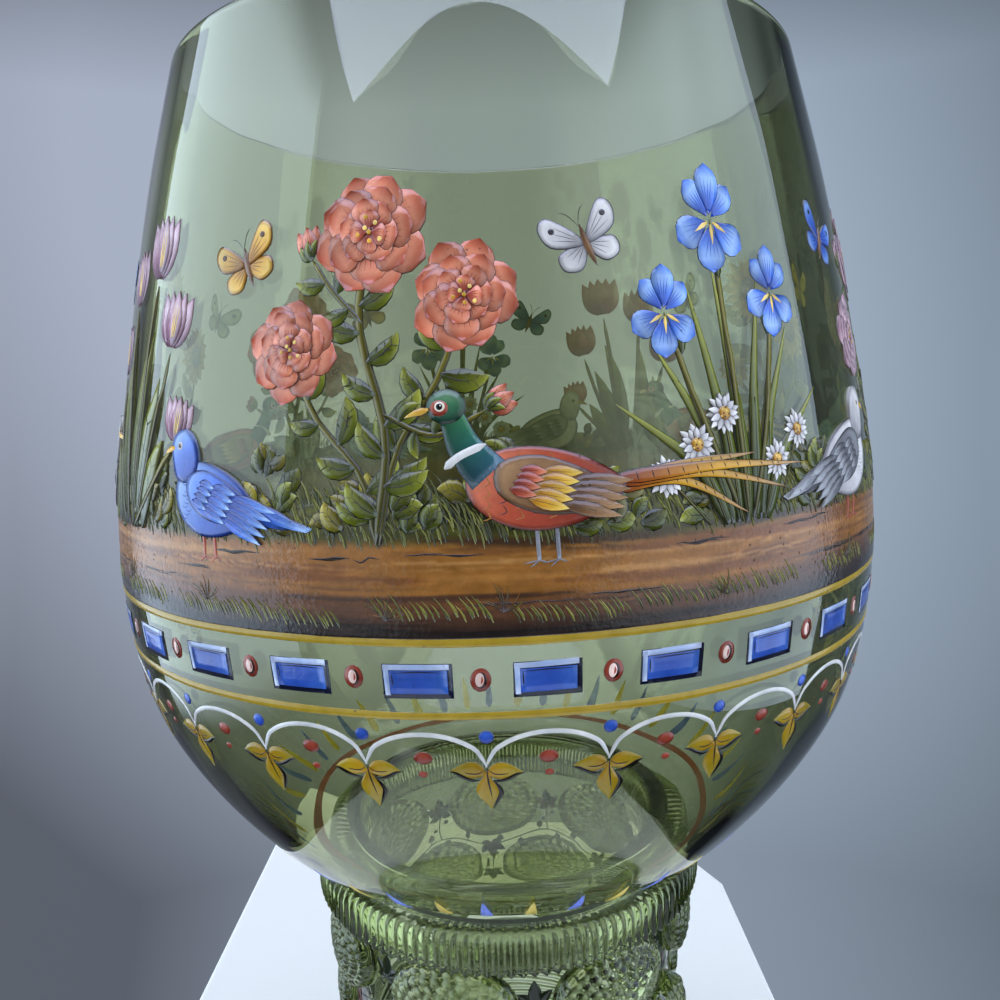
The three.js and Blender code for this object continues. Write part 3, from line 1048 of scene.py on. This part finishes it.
def leaf(spot, length, width, tones=LEAVES, bow=0.14):
    path = [0, length * (0.34 + bow * 1j), length * (0.7 + bow * 1.05j), length * (1 + bow * 0.3j)]
    spot.inked(path, width, tones[0], tones[1:], leaf_form, 7, (0.16, 0, -0.28), 0.13)
    spot.line(path[:3], 0.2, tones[0])
    if width > 2:
        for share in (0.3, 0.5, 0.68):
            root = length * (share + bow * 1j * share * 1.6)
            for side in (-1, 1):
                spot.line([root, root + width * (0.28 + side * 0.3j)], 0.12, tones[0], 3)


def twig(spot, path, width):
    spot.inked(path, width, OLIVE[0], OLIVE[1:3], soft_ends, 12, (0.25, 0, -0.3))


def petal(spot, length, width, tones, bend=0.0, form=petal_form):
    path = [0.1 * length, length * (0.55 + bend * 1j), length * (1 + bend * 1j)]
    spot.inked(path, width, tones[0], (*tones[1:], tones[2]), form, 8, (0.06, 0, -0.2), 0.08)
    for offset in (-0.26, -0.1, 0.08, 0.24):
        line = [0.25 * length + offset * 0.3j * width, length * (0.74 + bend * 1j) + offset * 1j * width]
        spot.line(line, 0.12, tones[1], 4)


def rosette(spot, radius, tones):
    """A full bloom of overlapping rings of petals."""
    draw = spot.random
    for count, reach, breadth in ((8, 1, 0.74), (7, 0.78, 0.66), (6, 0.54, 0.5), (4, 0.33, 0.36)):
        start = draw.uniform(0, 360)
        for k in range(count):
            turn = start + k * 360 / count + draw.normal(0, 4)
            length = radius * reach * draw.uniform(0.92, 1.06)
            petal(spot.at(0, turn), length, radius * breadth, tones, draw.normal(0, 0.05))
    for k in range(7):
        place = radius * 0.1 * np.exp(1j * k * 2.4) * math.sqrt(k)
        spot.at(place).patch(ellipse(0.045 * radius, 0.045 * radius), OCHRE[2 + k % 2], 8, 0.02)


def ray_flower(spot, radius, tones, count, breadth, centre_tones):
    """A flower of narrow rays round a button, such as a daisy or a sunflower."""
    draw = spot.random
    for ring, reach in enumerate((1, 0.84)):
        for k in range(count):
            turn = (k + 0.5 * ring) * 360 / count + draw.normal(0, 3)
            length = radius * reach * draw.uniform(0.92, 1.04)
            ray = spot.at(0, turn)
            path = [0.2 * radius, length]
            ray.inked(path, breadth, tones[0], tones[1:], leaf_form, 6, (0.05, 0, -0.2), 0.07)
    button = radius * 0.34
    spot.patch(ellipse(button, button), lit(centre_tones, 1j - 0.6), 18, 0.06)
    seeds = 26 if radius > 5 else 7
    for k in range(seeds):
        place = button * 0.84 * math.sqrt((k + 0.5) / seeds) * np.exp(2.4j * k)
        spot.at(place).patch(ellipse(0.2, 0.2), centre_tones[3 if k % 2 else 0], 6, 0.02)


def iris(spot, size):
    """Three falls, three standards and a yellow beard."""
    for turn, length, breadth in ((-150, 6.4, 4.4), (-30, 6.4, 4.4), (-90, 6.8, 4.8)):
        petal(spot.at(0, turn), length * size, breadth * size, BLUE, 0.06)
    for turn in (-90, -150, -30):
        beard = spot.at(0, turn)
        beard.stroke([0.6 * size, 3.2 * size], 0.9 * size, OCHRE[3], drop_form, ROUND, 4)
    for turn, length, breadth in ((130, 6.2, 3.6), (50, 6.2, 3.6), (90, 7.4, 4.2)):
        petal(spot.at(0, turn), length * size, breadth * size, BLUE, 0.04)


def tulip(spot, size, tones):
    petals = ((112, -0.9, 4.2), (68, 0.9, 4.2), (100, -0.5, 3.8), (80, 0.5, 3.8), (90, 0, 4.4))
    for turn, shift, breadth in petals:
        petal(spot.at(shift * size, turn), 9.5 * size, breadth * size, tones, 0, leaf_form)
    for shift in (-0.8, 0, 0.9):
        flame = [shift * 0.5 * size + 2.5j * size, shift * size + 8 * size * 1j]
        spot.line(flame, 0.5 * size, OCHRE[3], 5, drop_form)


def bud(spot, size, tones):
    for turn in (20, -20, 0):
        petal(spot.at(0, turn), 4.4 * size, 2.3 * size, tones, 0, leaf_form)
    for turn in (30, -30, 0):
        leaf(spot.at(0, turn), 2.6 * size, 1.1 * size)


def leafy_stem(spot, path, width, leaf_length, count, tones=LEAVES):
    """A stem with leaves on both sides in turn."""
    twig(spot, path, width)
    line = curve(path, count + 3)
    heading = np.degrees(np.angle(np.gradient(line)))
    for k in range(1, count + 1):
        side = 1 if k % 2 else -1
        turn = heading[k] + side * spot.random.uniform(38, 68)
        size = leaf_length * spot.random.uniform(0.75, 1.15)
        leaf(spot.at(line[k], turn, 1, side < 0), size, size * 0.46, tones)


def rose_bush(spot, tones):
    top, left, right = -1 + 41j, -13 + 26j, 12.5 + 32j
    leafy_stem(spot, [0, -2 + 9j, -9 + 17j, left], 0.8, 6, 6)
    leafy_stem(spot, [0.5, 3 + 12j, 9 + 22j, right], 0.8, 6, 7)
    leafy_stem(spot, [0, 1.5 + 14j, -2.5 + 29j, top], 1.1, 6.4, 9)
    leafy_stem(spot, [-2 + 29j, -7 + 34j, -10 + 38j], 0.6, 4.4, 3)
    leafy_stem(spot, [1 + 17j, 8 + 14j, 15 + 17j], 0.6, 4.6, 4)
    bud(spot.at(-10 + 38j, 105), 1.1, tones)
    bud(spot.at(15 + 17j, 30), 1.0, tones)
    rosette(spot.at(left), 7.2, tones)
    rosette(spot.at(right), 7.6, tones)
    rosette(spot.at(top), 8.6, tones)


def iris_clump(spot):
    blades = ((-7, -9, 27), (7, 10, 25), (-4, -5, 34), (4, 5, 33), (0, 2, 36), (-9, -14, 18), (9, 15, 17))
    for x, lean, height in blades:
        blade = [x * 0.4, x * 0.6 + lean * 0.2 + height * 0.5j, x * 0.5 + lean + height * 1j]
        spot.inked(blade, 2.7, LEAVES[0], LEAVES[1:], drop_form, 12, (0.1, 0, -0.3), 0.15)
        spot.line(blade[:2], 0.2, LEAVES[0], 8)
    for root, head, size in ((-1, -10 + 32j, 0.95), (1, 11 + 29j, 0.9), (0, 1 + 42j, 1.1)):
        twig(spot, [root, root + head * 0.5, head], 0.9)
        leaf(spot.at(head * 0.8, 70), 5, 1.6)
        iris(spot.at(head), size)
    for head in (-12 + 12j, -6.5 + 8j, 8 + 11j, 13 + 7j, 3 + 15j):
        twig(spot, [head.real * 0.5, head], 0.3)
        ray_flower(spot.at(head), 3.0, WHITE, 9, 1.1, OCHRE)


def sunflowers(spot):
    leafy_stem(spot, [1, 3 + 12j, 9 + 20j, 10 + 28j], 1.1, 8.6, 5, OLIVE)
    leafy_stem(spot, [-1, -2 + 16j, -6 + 30j, -5 + 40j], 1.4, 9.4, 7, OLIVE)
    leafy_stem(spot, [-1.5 + 10j, -8 + 14j, -13 + 20j], 0.8, 6, 3, OLIVE)
    ray_flower(spot.at(-14 + 22j), 5.4, OCHRE, 12, 1.7, BROWN)
    ray_flower(spot.at(10 + 30j), 7.2, OCHRE, 15, 2.0, BROWN)
    ray_flower(spot.at(-5 + 41j), 8.6, OCHRE, 17, 2.2, BROWN)


def tulip_bed(spot, tones):
    leaves = ((-8, -7, 22), (7, 7, 24), (-3, -4, 29), (3, 4, 31), (11, 12, 15), (-12, -12, 14))
    for x, lean, height in leaves:
        leaf(spot.at(x * 0.5, 90 - lean * 2), height, 4.2, LEAVES, 0.05)
    heads = (
        (-3, -13 + 24j, 0.95), (3, 12 + 27j, 1), (-1, -6 + 35j, 1.05), (1, 5 + 38j, 1.15),
        (2, 15 + 13j, 0.8),
    )
    for root, head, size in heads:
        twig(spot, [root, root * 0.6 + head * 0.5, head], 0.9)
        tulip(spot.at(head, -head.real * 0.8), size, tones)


def feather_row(spot, start, end, count, length, turn, tones, width):
    """Overlapping feathers from start to end, all pointing much the same way."""
    for k in range(count):
        place = start + (end - start) * k / max(1, count - 1)
        feather = spot.at(place, turn + 3 * (k - count / 2))
        quill = [0, length * 0.5, length]
        feather.inked(quill, width, tones[0], tones[1:], leaf_form, 6, (0.12, 0, -0.2), 0.08)
        feather.line([0, length * 0.8], 0.12, tones[0], 4)


def bird_legs(spot, tones):
    for x in (0.4, 3.0):
        spot.line([x + 4.4j, x - 0.2 + 0.4j], 0.6, tones[2], 4, even)
        for toe in (2.0, -1.4, 1.0 - 0.5j):
            spot.line([x - 0.2 + 0.4j, x + toe], 0.4, tones[2], 3, drop_form)


def bird_face(spot, eye):
    beak = [eye + 1.5 - 0.3j, eye + 3.4 - 0.75j, eye + 4.8 - 1.3j]
    spot.inked(beak, 1.25, OCHRE[0], OCHRE[2:], drop_form, 5)
    spot.patch(ellipse(0.75, 0.7, eye), (232, 226, 210), 12, 0.01)
    spot.patch(ellipse(0.5, 0.5, eye + 0.05), BLACK, 10, 0.01)
    spot.patch(ellipse(0.14, 0.14, eye - 0.1 + 0.15j), (245, 245, 245), 6, 0.01)


def dove(spot, body, wing):
    """A plump standing bird that looks right."""
    bird_legs(spot, RUST)
    feather_row(spot, -6.5 + 7.4j, -6.5 + 9.4j, 5, 12.5, 196, wing, 2.2)
    outline = [
        -9 + 7.5j, -6 + 11.8j, -1 + 14.4j, 4 + 15.4j, 8.2 + 14j,
        10.2 + 10.6j, 8.6 + 6.6j, 5 + 4.2j, 0.5 + 3.6j, -5 + 4.8j,
    ]
    spot.inked_patch(outline, body[0], lit(body, 1 + 0.6j), 34)
    head = [
        4.2 + 14.4j, 5 + 18.4j, 7.6 + 20.6j, 10.6 + 20j,
        11.8 + 17.8j, 11.2 + 15j, 9.8 + 12.4j, 6.6 + 12j,
    ]
    spot.patch(head, lit(body, 0.6 + 1j), 26, 0.03)
    for k in range(12):
        breast = 7.4 - 0.5 * (k % 3) + (6.6 + 0.6 * k) * 1j
        spot.line([breast - 0.9, breast - 0.1 - 0.45j, breast + 0.8 - 0.1j], 0.2, body[1], 4)
    shoulder = [6.2 + 13.2j, 2 + 14j, -4 + 11.6j, -8 + 8.4j, -5 + 6.2j, 0 + 6j, 4.6 + 7.6j, 6.9 + 10.4j]
    spot.inked_patch(shoulder, wing[0], lit(wing, 1 + 0.8j, 0.8), 28)
    feather_row(spot, -3.2 + 10.2j, -1.2 + 7.2j, 5, 9.6, 202, wing, 1.9)
    feather_row(spot, 0.6 + 11.6j, 2.6 + 8.2j, 5, 5.6, 200, wing, 1.8)
    feather_row(spot, 3.6 + 12.2j, 5.2 + 9.4j, 4, 3.8, 200, wing, 1.6)
    bird_face(spot, 9.3 + 17.9j)


def pheasant(spot):
    """A long-tailed bird that looks right."""
    bird_legs(spot.at(-1), GREY)
    for k, (lift, reach) in enumerate(((-1.6, 22), (1.8, 24), (-0.4, 30), (0.9, 34))):
        plume = [
            -7 + (9 + 0.4 * k) * 1j,
            -7 - reach * 0.5 + (10.5 + lift * 0.6) * 1j,
            -7 - reach + (8 + lift * 2.4) * 1j,
        ]
        colours = [RUST[1], OCHRE[2], BROWN[3]]
        spot.inked(plume, 2.05, BROWN[0], colours, drop_form, 14, (0.1, 0, -0.25), 0.14)
        line = curve(plume, 16)
        for bar in range(1, 13):
            half = 0.7j * (1 - bar / 18)
            spot.line([line[bar] + half, line[bar] - 0.3 - half], 0.26, BROWN[0], 3)
    body = [-10 + 9.4j, -5 + 13.2j, 2 + 15j, 8 + 14.2j, 11 + 10.8j, 9 + 6.8j, 3 + 4.4j, -4.5 + 5.4j]
    spot.inked_patch(body, RUST[0], lit(RUST, 1 + 0.8j, 0.85), 34)
    for row in range(5):
        for k in range(6 - row % 2):
            scale = spot.at(8.6 - 2.1 * row + (6.4 + 1.45 * k + 0.7 * (row % 2)) * 1j, 200)
            tone = RUST[0] if row % 2 else OCHRE[1]
            scale.line([-0.2 + 0.75j, 0.75, -0.2 - 0.75j], 0.26, tone, 5)
    neck = [8 + 11.6j, 11 + 15.2j, 12.6 + 19.2j]
    green = ((20, 30, 26), (30, 66, 52), (52, 104, 76), (130, 170, 130))
    sheen = [(38, 74, 92), (34, 84, 78), (50, 104, 70)]
    spot.inked(neck, 5.5, BLUE[0], sheen, lambda t: 1 - 0.42 * t, 8, (0.25, 0, -0.3), 0.14)
    spot.stroke([8.2 + 15.6j, 11.6 + 14.2j, 13.8 + 12.6j], 1.1, WHITE[3], soft_ends, ROUND, 8)
    spot.inked_patch(ellipse(2.6, 2.2, 13.4 + 20.6j), green[0], lit(green, 1j), 20)
    spot.patch(ellipse(1.3, 1.1, 14.3 + 20.4j), lit(RUST, 1j, 0.8), 14, 0.02)
    bird_face(spot.at(4.6 + 2.7j), 9.6 + 17.9j)
    wing = [6.6 + 13j, 1 + 13.8j, -6 + 11j, -9 + 8.2j, -4 + 6.4j, 2 + 6.6j, 6.8 + 9.2j]
    spot.inked_patch(wing, BROWN[0], lit(BROWN, 1 + 1j), 28)
    feather_row(spot, -2.6 + 10.4j, -1 + 7.6j, 5, 8.4, 190, BROWN, 1.9)
    feather_row(spot, 1.2 + 11.8j, 3 + 8.4j, 5, 5.4, 192, OCHRE, 1.8)
    feather_row(spot, 4 + 12.2j, 5.4 + 9.8j, 4, 3.6, 194, RUST, 1.5)


def butterfly(spot, tones):
    upper, lower = [0, -3.6 + 4.6j, -5.4 + 3.6j, -4.4 + 0.8j], [0, -3.9 - 0.4j, -4 - 2.6j, -1.6 - 3j]
    for half in (spot, spot.mirrored()):
        for wing, towards in ((lower, -1 - 1j), (upper, -1 + 1j)):
            half.inked_patch(wing, tones[0], lit(tones, towards), 18, 0.14)
            for share in (0.25, 0.5, 0.75):
                tip = wing[1] * (1 - share) + wing[3] * share
                half.line([0.2 * tip, tip * 1.0], 0.12, tones[0], 4)
        half.patch(ellipse(0.5, 0.5, -3.8 + 2.9j), tones[0], 8, 0.01)
        half.line([0.1 + 2.2j, -0.9 + 4.2j, -1.9 + 4.9j], 0.14, BROWN[0], 6)
    body = [0.2 + 2.6j, 0.1 - 0.4j, 0.3 - 3.4j]
    spot.stroke(body, 1.0, [BROWN[1], BROWN[2], BROWN[1]])


def bush(spot, width, height):
    """A low mound of leaves, dark behind and lighter in front."""
    draw = spot.random
    count = int(width * 1.5)
    for k in range(count):
        share = k / count
        reach = math.sqrt(draw.random())
        angle = draw.uniform(0, math.pi)
        rise = height * reach * math.sin(angle) * (1 - 0.35 * share)
        place = width / 2 * reach * math.cos(angle) + 1j * rise
        tones = LEAVES if draw.random() < 0.6 else OLIVE
        deep = tuple(tuple(channel * (0.62 + 0.42 * share) for channel in tone) for tone in tones)
        turn = 90 - 70 * place.real / (width / 2) + draw.normal(0, 28)
        size = draw.uniform(3.0, 4.6)
        leaf(spot.at(place, turn, 1, draw.random() < 0.5), size, size * 0.66, deep)


FIRST_PLANT = -12
PLANTS = [
    ("rose", RUST), ("iris", None), ("rose", MAUVE), ("sunflower", None), ("tulip", RUST),
    ("iris", None), ("rose", RUST), ("sunflower", None), ("tulip", MAUVE),
]
PLANT_PITCH = 360 / len(PLANTS)
PLANT_ROOT_V = 9.5
BUSHES = 27
BUSH_ROOT_V = 10.5
BIRD_V = 6.5
BUTTERFLY_V = 48


def plant(spot, kind, tones):
    if kind == "rose":
        rose_bush(spot, tones)
    elif kind == "iris":
        iris_clump(spot)
    elif kind == "sunflower":
        sunflowers(spot)
    else:
        tulip_bed(spot, tones)


def bushes(canvas):
    paint = Enamel(canvas, "bushes", 81)
    for k in range(BUSHES):
        place = paint.spot(k * 360 / BUSHES + paint.random.normal(0, 2), BUSH_ROOT_V)
        bush(place, paint.random.uniform(10, 16), paint.random.uniform(6, 13))
    yield paint


def plants(canvas):
    for k, (kind, tones) in enumerate(PLANTS):
        paint = Enamel(canvas, f"plant_{k + 1}", 90 + k)
        spot = paint.spot(FIRST_PLANT + k * PLANT_PITCH, PLANT_ROOT_V)
        plant(spot.mirrored() if k % 2 else spot, kind, tones)
        yield paint


def birds(canvas):
    """Birds between the plants and butterflies above them."""
    paint = Enamel(canvas, "birds", 121)
    for k in range(len(PLANTS)):
        middle = FIRST_PLANT + (k + 0.5) * PLANT_PITCH
        spot = paint.spot(middle, BIRD_V)
        facing = spot if k % 2 else spot.mirrored()
        if k % 3 == 0:
            pheasant(facing.at(3))
        elif k % 3 == 1:
            dove(facing, WHITE, GREY)
        else:
            dove(facing.at(0, 0, 0.9), BLUE, BLUE)
        wings = paint.spot(middle + 3, BUTTERFLY_V + 3 * (k % 2))
        butterfly(wings.at(0, 20 - 40 * (k % 2)), (OCHRE, WHITE, BLUE)[(k + 1) % 3])
    yield paint


# Materials


class Nodes:
    """A node tree that is emptied and then filled node by node."""

    def __init__(self, owner):
        self.tree = owner.node_tree
        self.tree.nodes.clear()

    def add(self, kind, inputs=(), **settings):
        """Adds a node, sets or joins its inputs, and returns its outputs."""
        node = self.tree.nodes.new(kind)
        for name, value in settings.items():
            setattr(node, name, value)
        for name, value in dict(inputs).items():
            if isinstance(value, bpy.types.NodeSocket):
                self.tree.links.new(value, node.inputs[name])
            else:
                node.inputs[name].default_value = value
        return node.outputs

    def math(self, operation, *values):
        return self.add("ShaderNodeMath", dict(enumerate(values)), operation=operation)[0]

    def ramp(self, value, from_min, from_max, to_min, to_max):
        """Maps one range onto another and stops at its ends."""
        values = (value, from_min, from_max, to_min, to_max)
        return self.add("ShaderNodeMapRange", dict(enumerate(values)))[0]

    def noise(self, scale, detail, roughness=0.5):
        place = self.add("ShaderNodeTexCoord")["Object"]
        inputs = {"Vector": place, "Scale": scale, "Detail": detail, "Roughness": roughness}
        return self.add("ShaderNodeTexNoise", inputs)["Fac"]

    def cells(self, scale):
        """The distance to the nearest of many scattered points."""
        place = self.add("ShaderNodeTexCoord")["Object"]
        return self.add("ShaderNodeTexVoronoi", {"Vector": place, "Scale": scale})["Distance"]

    def mix(self, share, one, other):
        return self.add("ShaderNodeMix", {0: share, 6: one, 7: other}, data_type="RGBA")[2]

    def bump(self, height, strength, distance):
        inputs = {"Height": height, "Strength": strength, "Distance": distance}
        return self.add("ShaderNodeBump", inputs)["Normal"]


def new_material(name):
    material = bpy.data.materials.new(name)
    material.use_nodes = True
    return material, Nodes(material)


def glass_material(name, keeps, density, waviness, knobbly):
    """Clear glass whose colour deepens with its thickness. keeps is the colour that is left. Knobbly
    glass also has painted shade: its colour is darker between small round spots, like shade
    between nubs."""
    material, nodes = new_material(name)
    skin = {"Base Color": (1, 1, 1, 1), "Roughness": 0.0, "IOR": 1.5, "Transmission Weight": 1.0}
    if knobbly:
        # Painted shade: the glass colour is darker between small round spots
        dark = nodes.ramp(nodes.cells(480), 0.25, 0.62, 0, 1)
        skin["Base Color"] = nodes.mix(dark, (1, 1, 0.94, 1), (0.52, 0.56, 0.38, 1))
    if waviness:
        skin["Normal"] = nodes.bump(nodes.noise(70, 2), waviness, 0.0004)
    clear = nodes.add("ShaderNodeBsdfPrincipled", skin)[0]
    shadow = nodes.add("ShaderNodeBsdfTransparent", {"Color": (0.96, 0.96, 0.96, 1)})[0]
    in_shadow = nodes.add("ShaderNodeLightPath")["Is Shadow Ray"]
    mixed = nodes.add("ShaderNodeMixShader", {0: in_shadow, 1: clear, 2: shadow})[0]
    inside = nodes.add("ShaderNodeVolumeAbsorption", {"Color": (*keeps, 1), "Density": density})[0]
    nodes.add("ShaderNodeOutputMaterial", {"Surface": mixed, "Volume": inside})
    return material


def enamel_material(name, bump_strength, rough_low, rough_high):
    """Fired enamel: brushed colour, a satin skin and small dark pits."""
    material, nodes = new_material(name)
    paint = nodes.add("ShaderNodeVertexColor", layer_name="paint")["Color"]
    mottle = nodes.noise(420, 6, 0.65)
    light = nodes.ramp(mottle, 0.3, 0.7, 0.84, 1.14)
    tinted = nodes.add("ShaderNodeVectorMath", {0: paint, 3: light}, operation="SCALE")[0]
    dots = nodes.ramp(nodes.cells(620), 0.06, 0.13, 1, 0)
    pits = nodes.math("MULTIPLY", dots, nodes.ramp(nodes.noise(55, 2), 0.5, 0.6, 0, 1))
    pitted = nodes.mix(nodes.math("MULTIPLY", pits, 0.8), tinted, (0.012, 0.01, 0.009, 1))
    grain = nodes.math("ADD", nodes.noise(1500, 3), nodes.noise(330, 2))
    normal = nodes.bump(nodes.math("SUBTRACT", grain, pits), bump_strength, 0.00012)
    rough = nodes.ramp(mottle, 0.3, 0.7, rough_low, rough_high)
    look = {"Base Color": pitted, "Roughness": rough, "Normal": normal}
    skin = nodes.add("ShaderNodeBsdfPrincipled", look)
    nodes.add("ShaderNodeOutputMaterial", {"Surface": skin[0]})
    return material


def plain_material(name, colour, roughness):
    material, nodes = new_material(name)
    skin = nodes.add("ShaderNodeBsdfPrincipled", {"Base Color": (*colour, 1), "Roughness": roughness})
    nodes.add("ShaderNodeOutputMaterial", {"Surface": skin[0]})
    return material


# Camera, light and floor


def make_camera():
    data = bpy.data.cameras.new("camera")
    data.lens = CAMERA_LENS
    data.sensor_width = SENSOR_WIDTH
    data.clip_start = NEAR_CLIP
    camera = put_in_scene("camera", data)
    tilt = Matrix.Rotation(math.radians(90 - CAMERA_PITCH), 4, "X")
    roll = Matrix.Rotation(math.radians(CAMERA_ROLL), 4, "Z")
    camera.matrix_world = Matrix.Translation([n * MM for n in CAMERA_PLACE]) @ tilt @ roll
    bpy.context.scene.camera = camera


def area_light(name, width, height, brightness, colour):
    """A panel that gives light and isn't seen itself. Its brightness is for each square metre."""
    data = bpy.data.lights.new(name, "AREA")
    data.shape = "RECTANGLE"
    data.size, data.size_y = width, height
    data.energy = brightness * width * height
    data.color = colour
    light = put_in_scene(name, data)
    light.visible_camera = False
    return light


def window_light(name, azimuth, width, brightness, colour, fades):
    light = area_light(name, width, WINDOW_HEIGHT, brightness, colour)
    turn = math.radians(azimuth)
    light.location = (math.sin(turn), math.cos(turn), WINDOW_MIDDLE_Z)
    light.rotation_euler = (math.radians(90), 0, -turn + math.pi)
    light.data.use_nodes = True
    nodes = Nodes(light.data)
    place = nodes.add("ShaderNodeNewGeometry")["Parametric"]
    across = nodes.add("ShaderNodeSeparateXYZ", {0: place})
    strength = 1
    for k, share in enumerate(fades):
        if share:
            start, end = (1, 1 - share) if k % 2 else (0, share)
            inputs = {"Value": across[k // 2], "From Min": start, "From Max": end}
            fade = nodes.add("ShaderNodeMapRange", inputs, interpolation_type="SMOOTHSTEP")[0]
            strength = nodes.math("MULTIPLY", fade, strength)
    glow = nodes.add("ShaderNodeEmission", {"Strength": strength})
    nodes.add("ShaderNodeOutputLight", {0: glow[0]})


def ceiling_light(name, height, size, brightness, colour, mirrored):
    light = area_light(name, size, size, brightness, colour)
    light.location = (0, 0, height)
    light.visible_diffuse = not mirrored
    light.visible_glossy = light.visible_transmission = mirrored


def make_world():
    """Grey-blue studio paper, brightest behind the goblet, over an even ambient light."""
    world = bpy.data.worlds.new("studio")
    bpy.context.scene.world = world
    world.use_nodes = True
    nodes = Nodes(world)

    def times(one, other):
        return nodes.math("MULTIPLY", one, other)

    def times_plus(one, other, more):
        return nodes.math("MULTIPLY_ADD", one, other, more)

    def greater(one, other):
        return nodes.math("MAXIMUM", one, other)

    direction = nodes.add("ShaderNodeTexCoord")["Generated"]
    x, y, z = nodes.add("ShaderNodeSeparateXYZ", {0: direction})
    rays = nodes.add("ShaderNodeLightPath")
    through = rays["Is Transmission Ray"]

    # The paper's gradient
    x_near = nodes.ramp(x, -0.5, 0.5, -0.5, 0.5)
    z_near = nodes.ramp(z, -0.5, 0.5, -0.5, 0.5)
    xx, xz, x_alone, zz, z_alone = PAPER_SLOPES
    x_slope = times_plus(x_near, xx, times_plus(z_near, xz, x_alone))
    z_slope = times_plus(z_near, zz, z_alone)
    bright = times_plus(z_near, z_slope, times_plus(x_near, x_slope, PAPER_MIDDLE))
    bright = greater(nodes.math("MINIMUM", bright, 0.44), 0.12)

    # It ends below, above, in front and at both sides
    bright = times(bright, nodes.ramp(times_plus(through, -0.12, z), -0.72, -0.64, 0.1, 1))
    bright = times(bright, nodes.ramp(z, 0.3, 0.46, 1, 0.3))
    bright = times(bright, nodes.ramp(y, -0.4, 0.3, 0.25, 1))
    aside = greater(times_plus(through, 0.41, x), times_plus(through, 0.08, times(x, -1)))
    far_side = nodes.ramp(nodes.math("ABSOLUTE", x), 0.57, 0.67, 0, 0.4)
    bright = times(bright, greater(nodes.ramp(aside, 0.62, 0.82, 1, 0.08), far_side))

    red = times(bright, times_plus(x_near, -0.09, 0.844))
    tint = nodes.add("ShaderNodeCombineColor", {0: red, 1: bright, 2: times(bright, 1.247)})[0]
    paper = nodes.add("ShaderNodeBackground", {"Color": tint, "Strength": 1})[0]
    ambient = nodes.add("ShaderNodeBackground", {"Color": (0.96, 0.98, 1, 1), "Strength": 0.45})[0]
    seen = greater(greater(rays["Is Camera Ray"], rays["Is Glossy Ray"]), through)
    seen = times(seen, nodes.math("LESS_THAN", rays["Diffuse Depth"], 0.5))
    mixed = nodes.add("ShaderNodeMixShader", {0: seen, 1: ambient, 2: paper})[0]
    nodes.add("ShaderNodeOutputWorld", {"Surface": mixed})


def make_floor():
    """A pale plinth with softened edges."""
    mesh = bpy.data.meshes.new("plinth")
    corners = [(x * MM, y * MM, z * MM) for z in (-PLINTH_THICKNESS, 0) for x, y in PLINTH_CORNERS]
    count = len(PLINTH_CORNERS)
    faces = [tuple(range(count))[::-1], tuple(range(count, 2 * count))]
    for k in range(count):
        after = (k + 1) % count
        faces.append((k, after, after + count, k + count))
    mesh.from_pydata(corners, [], faces)
    mesh.materials.append(plain_material("plinth_paper", (0.74, 0.77, 0.81), 0.7))
    floor = put_in_scene("plinth", mesh)
    bevel = floor.modifiers.new("soft_edge", "BEVEL")
    bevel.width = PLINTH_EDGE * MM
    bevel.segments = 4
    floor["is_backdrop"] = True


def set_up_scene():
    scene = bpy.context.scene
    scene.view_settings.view_transform = "Standard"
    scene.cycles.max_bounces = 24
    scene.cycles.transmission_bounces = 24
    scene.cycles.transparent_max_bounces = 32
    make_camera()
    make_world()
    make_floor()
    for window in WINDOWS:
        window_light(*window)
    for light in CEILING_LIGHTS:
        ceiling_light(*light)


def make_glass(bowl):
    glass = {name: glass_material(name, *look) for name, look in GLASS_KINDS.items()}
    parts = [
        ("bowl_glass", "bowl", bowl_mesh(bowl), "bowl_glass", "bowl_glass"),
        ("stem_glass", "stem", stem_mesh(), "stem_glass", "stem_glass"),
        ("collar_glass", "upper_collar", collar_mesh(), "trail_glass", "trail_glass"),
        ("ring_glass", "lower_ring", lower_ring_mesh(), "trail_glass", "trail_glass"),
        ("foot_glass", "foot", foot_mesh(), "stem_glass", "foot_glass"),
    ]
    for name in sorted(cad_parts):
        if name.startswith("prunt"):
            number = name.split("_")[1]
            parts.append((f"berry_{number}", name, prunt_mesh(name), "prunt_glass", "prunt_glass"))
    for name, node, (points, faces), kind, slot in parts:
        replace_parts(new_piece(name, points, faces, glass[kind], slot), node)


def make_enamel(bowl):
    gloss = enamel_material("enamel", 0.3, 0.1, 0.26)
    canvas = Canvas(bowl)
    ground(canvas, enamel_material("enamel_earth", 0.7, 0.12, 0.3))
    for painter in (
        earth_cracks, grass, bushes, plants, birds, painted_lines, gems_and_beads, arches, leaves_and_dots,
        underside_ring, underside_strokes,
    ):
        for paint in painter(canvas):
            paint.piece(gloss)
    stem = Surface(stem_outline(), 0)
    stem.v = stem.z
    for paint in stem_vine(Canvas(stem), math.degrees(cad_points("prunt_01")[1])):
        paint.piece(gloss)


bowl_surface = Surface(bowl_outline(), BOWL_WIDEST_Z)
set_up_scene()
make_glass(bowl_surface)
make_enamel(bowl_surface)

boxes = {"cad": cad_bounds, "visual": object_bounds()}
{name: [list(low), list(high)] for name, (low, high) in boxes.items()}
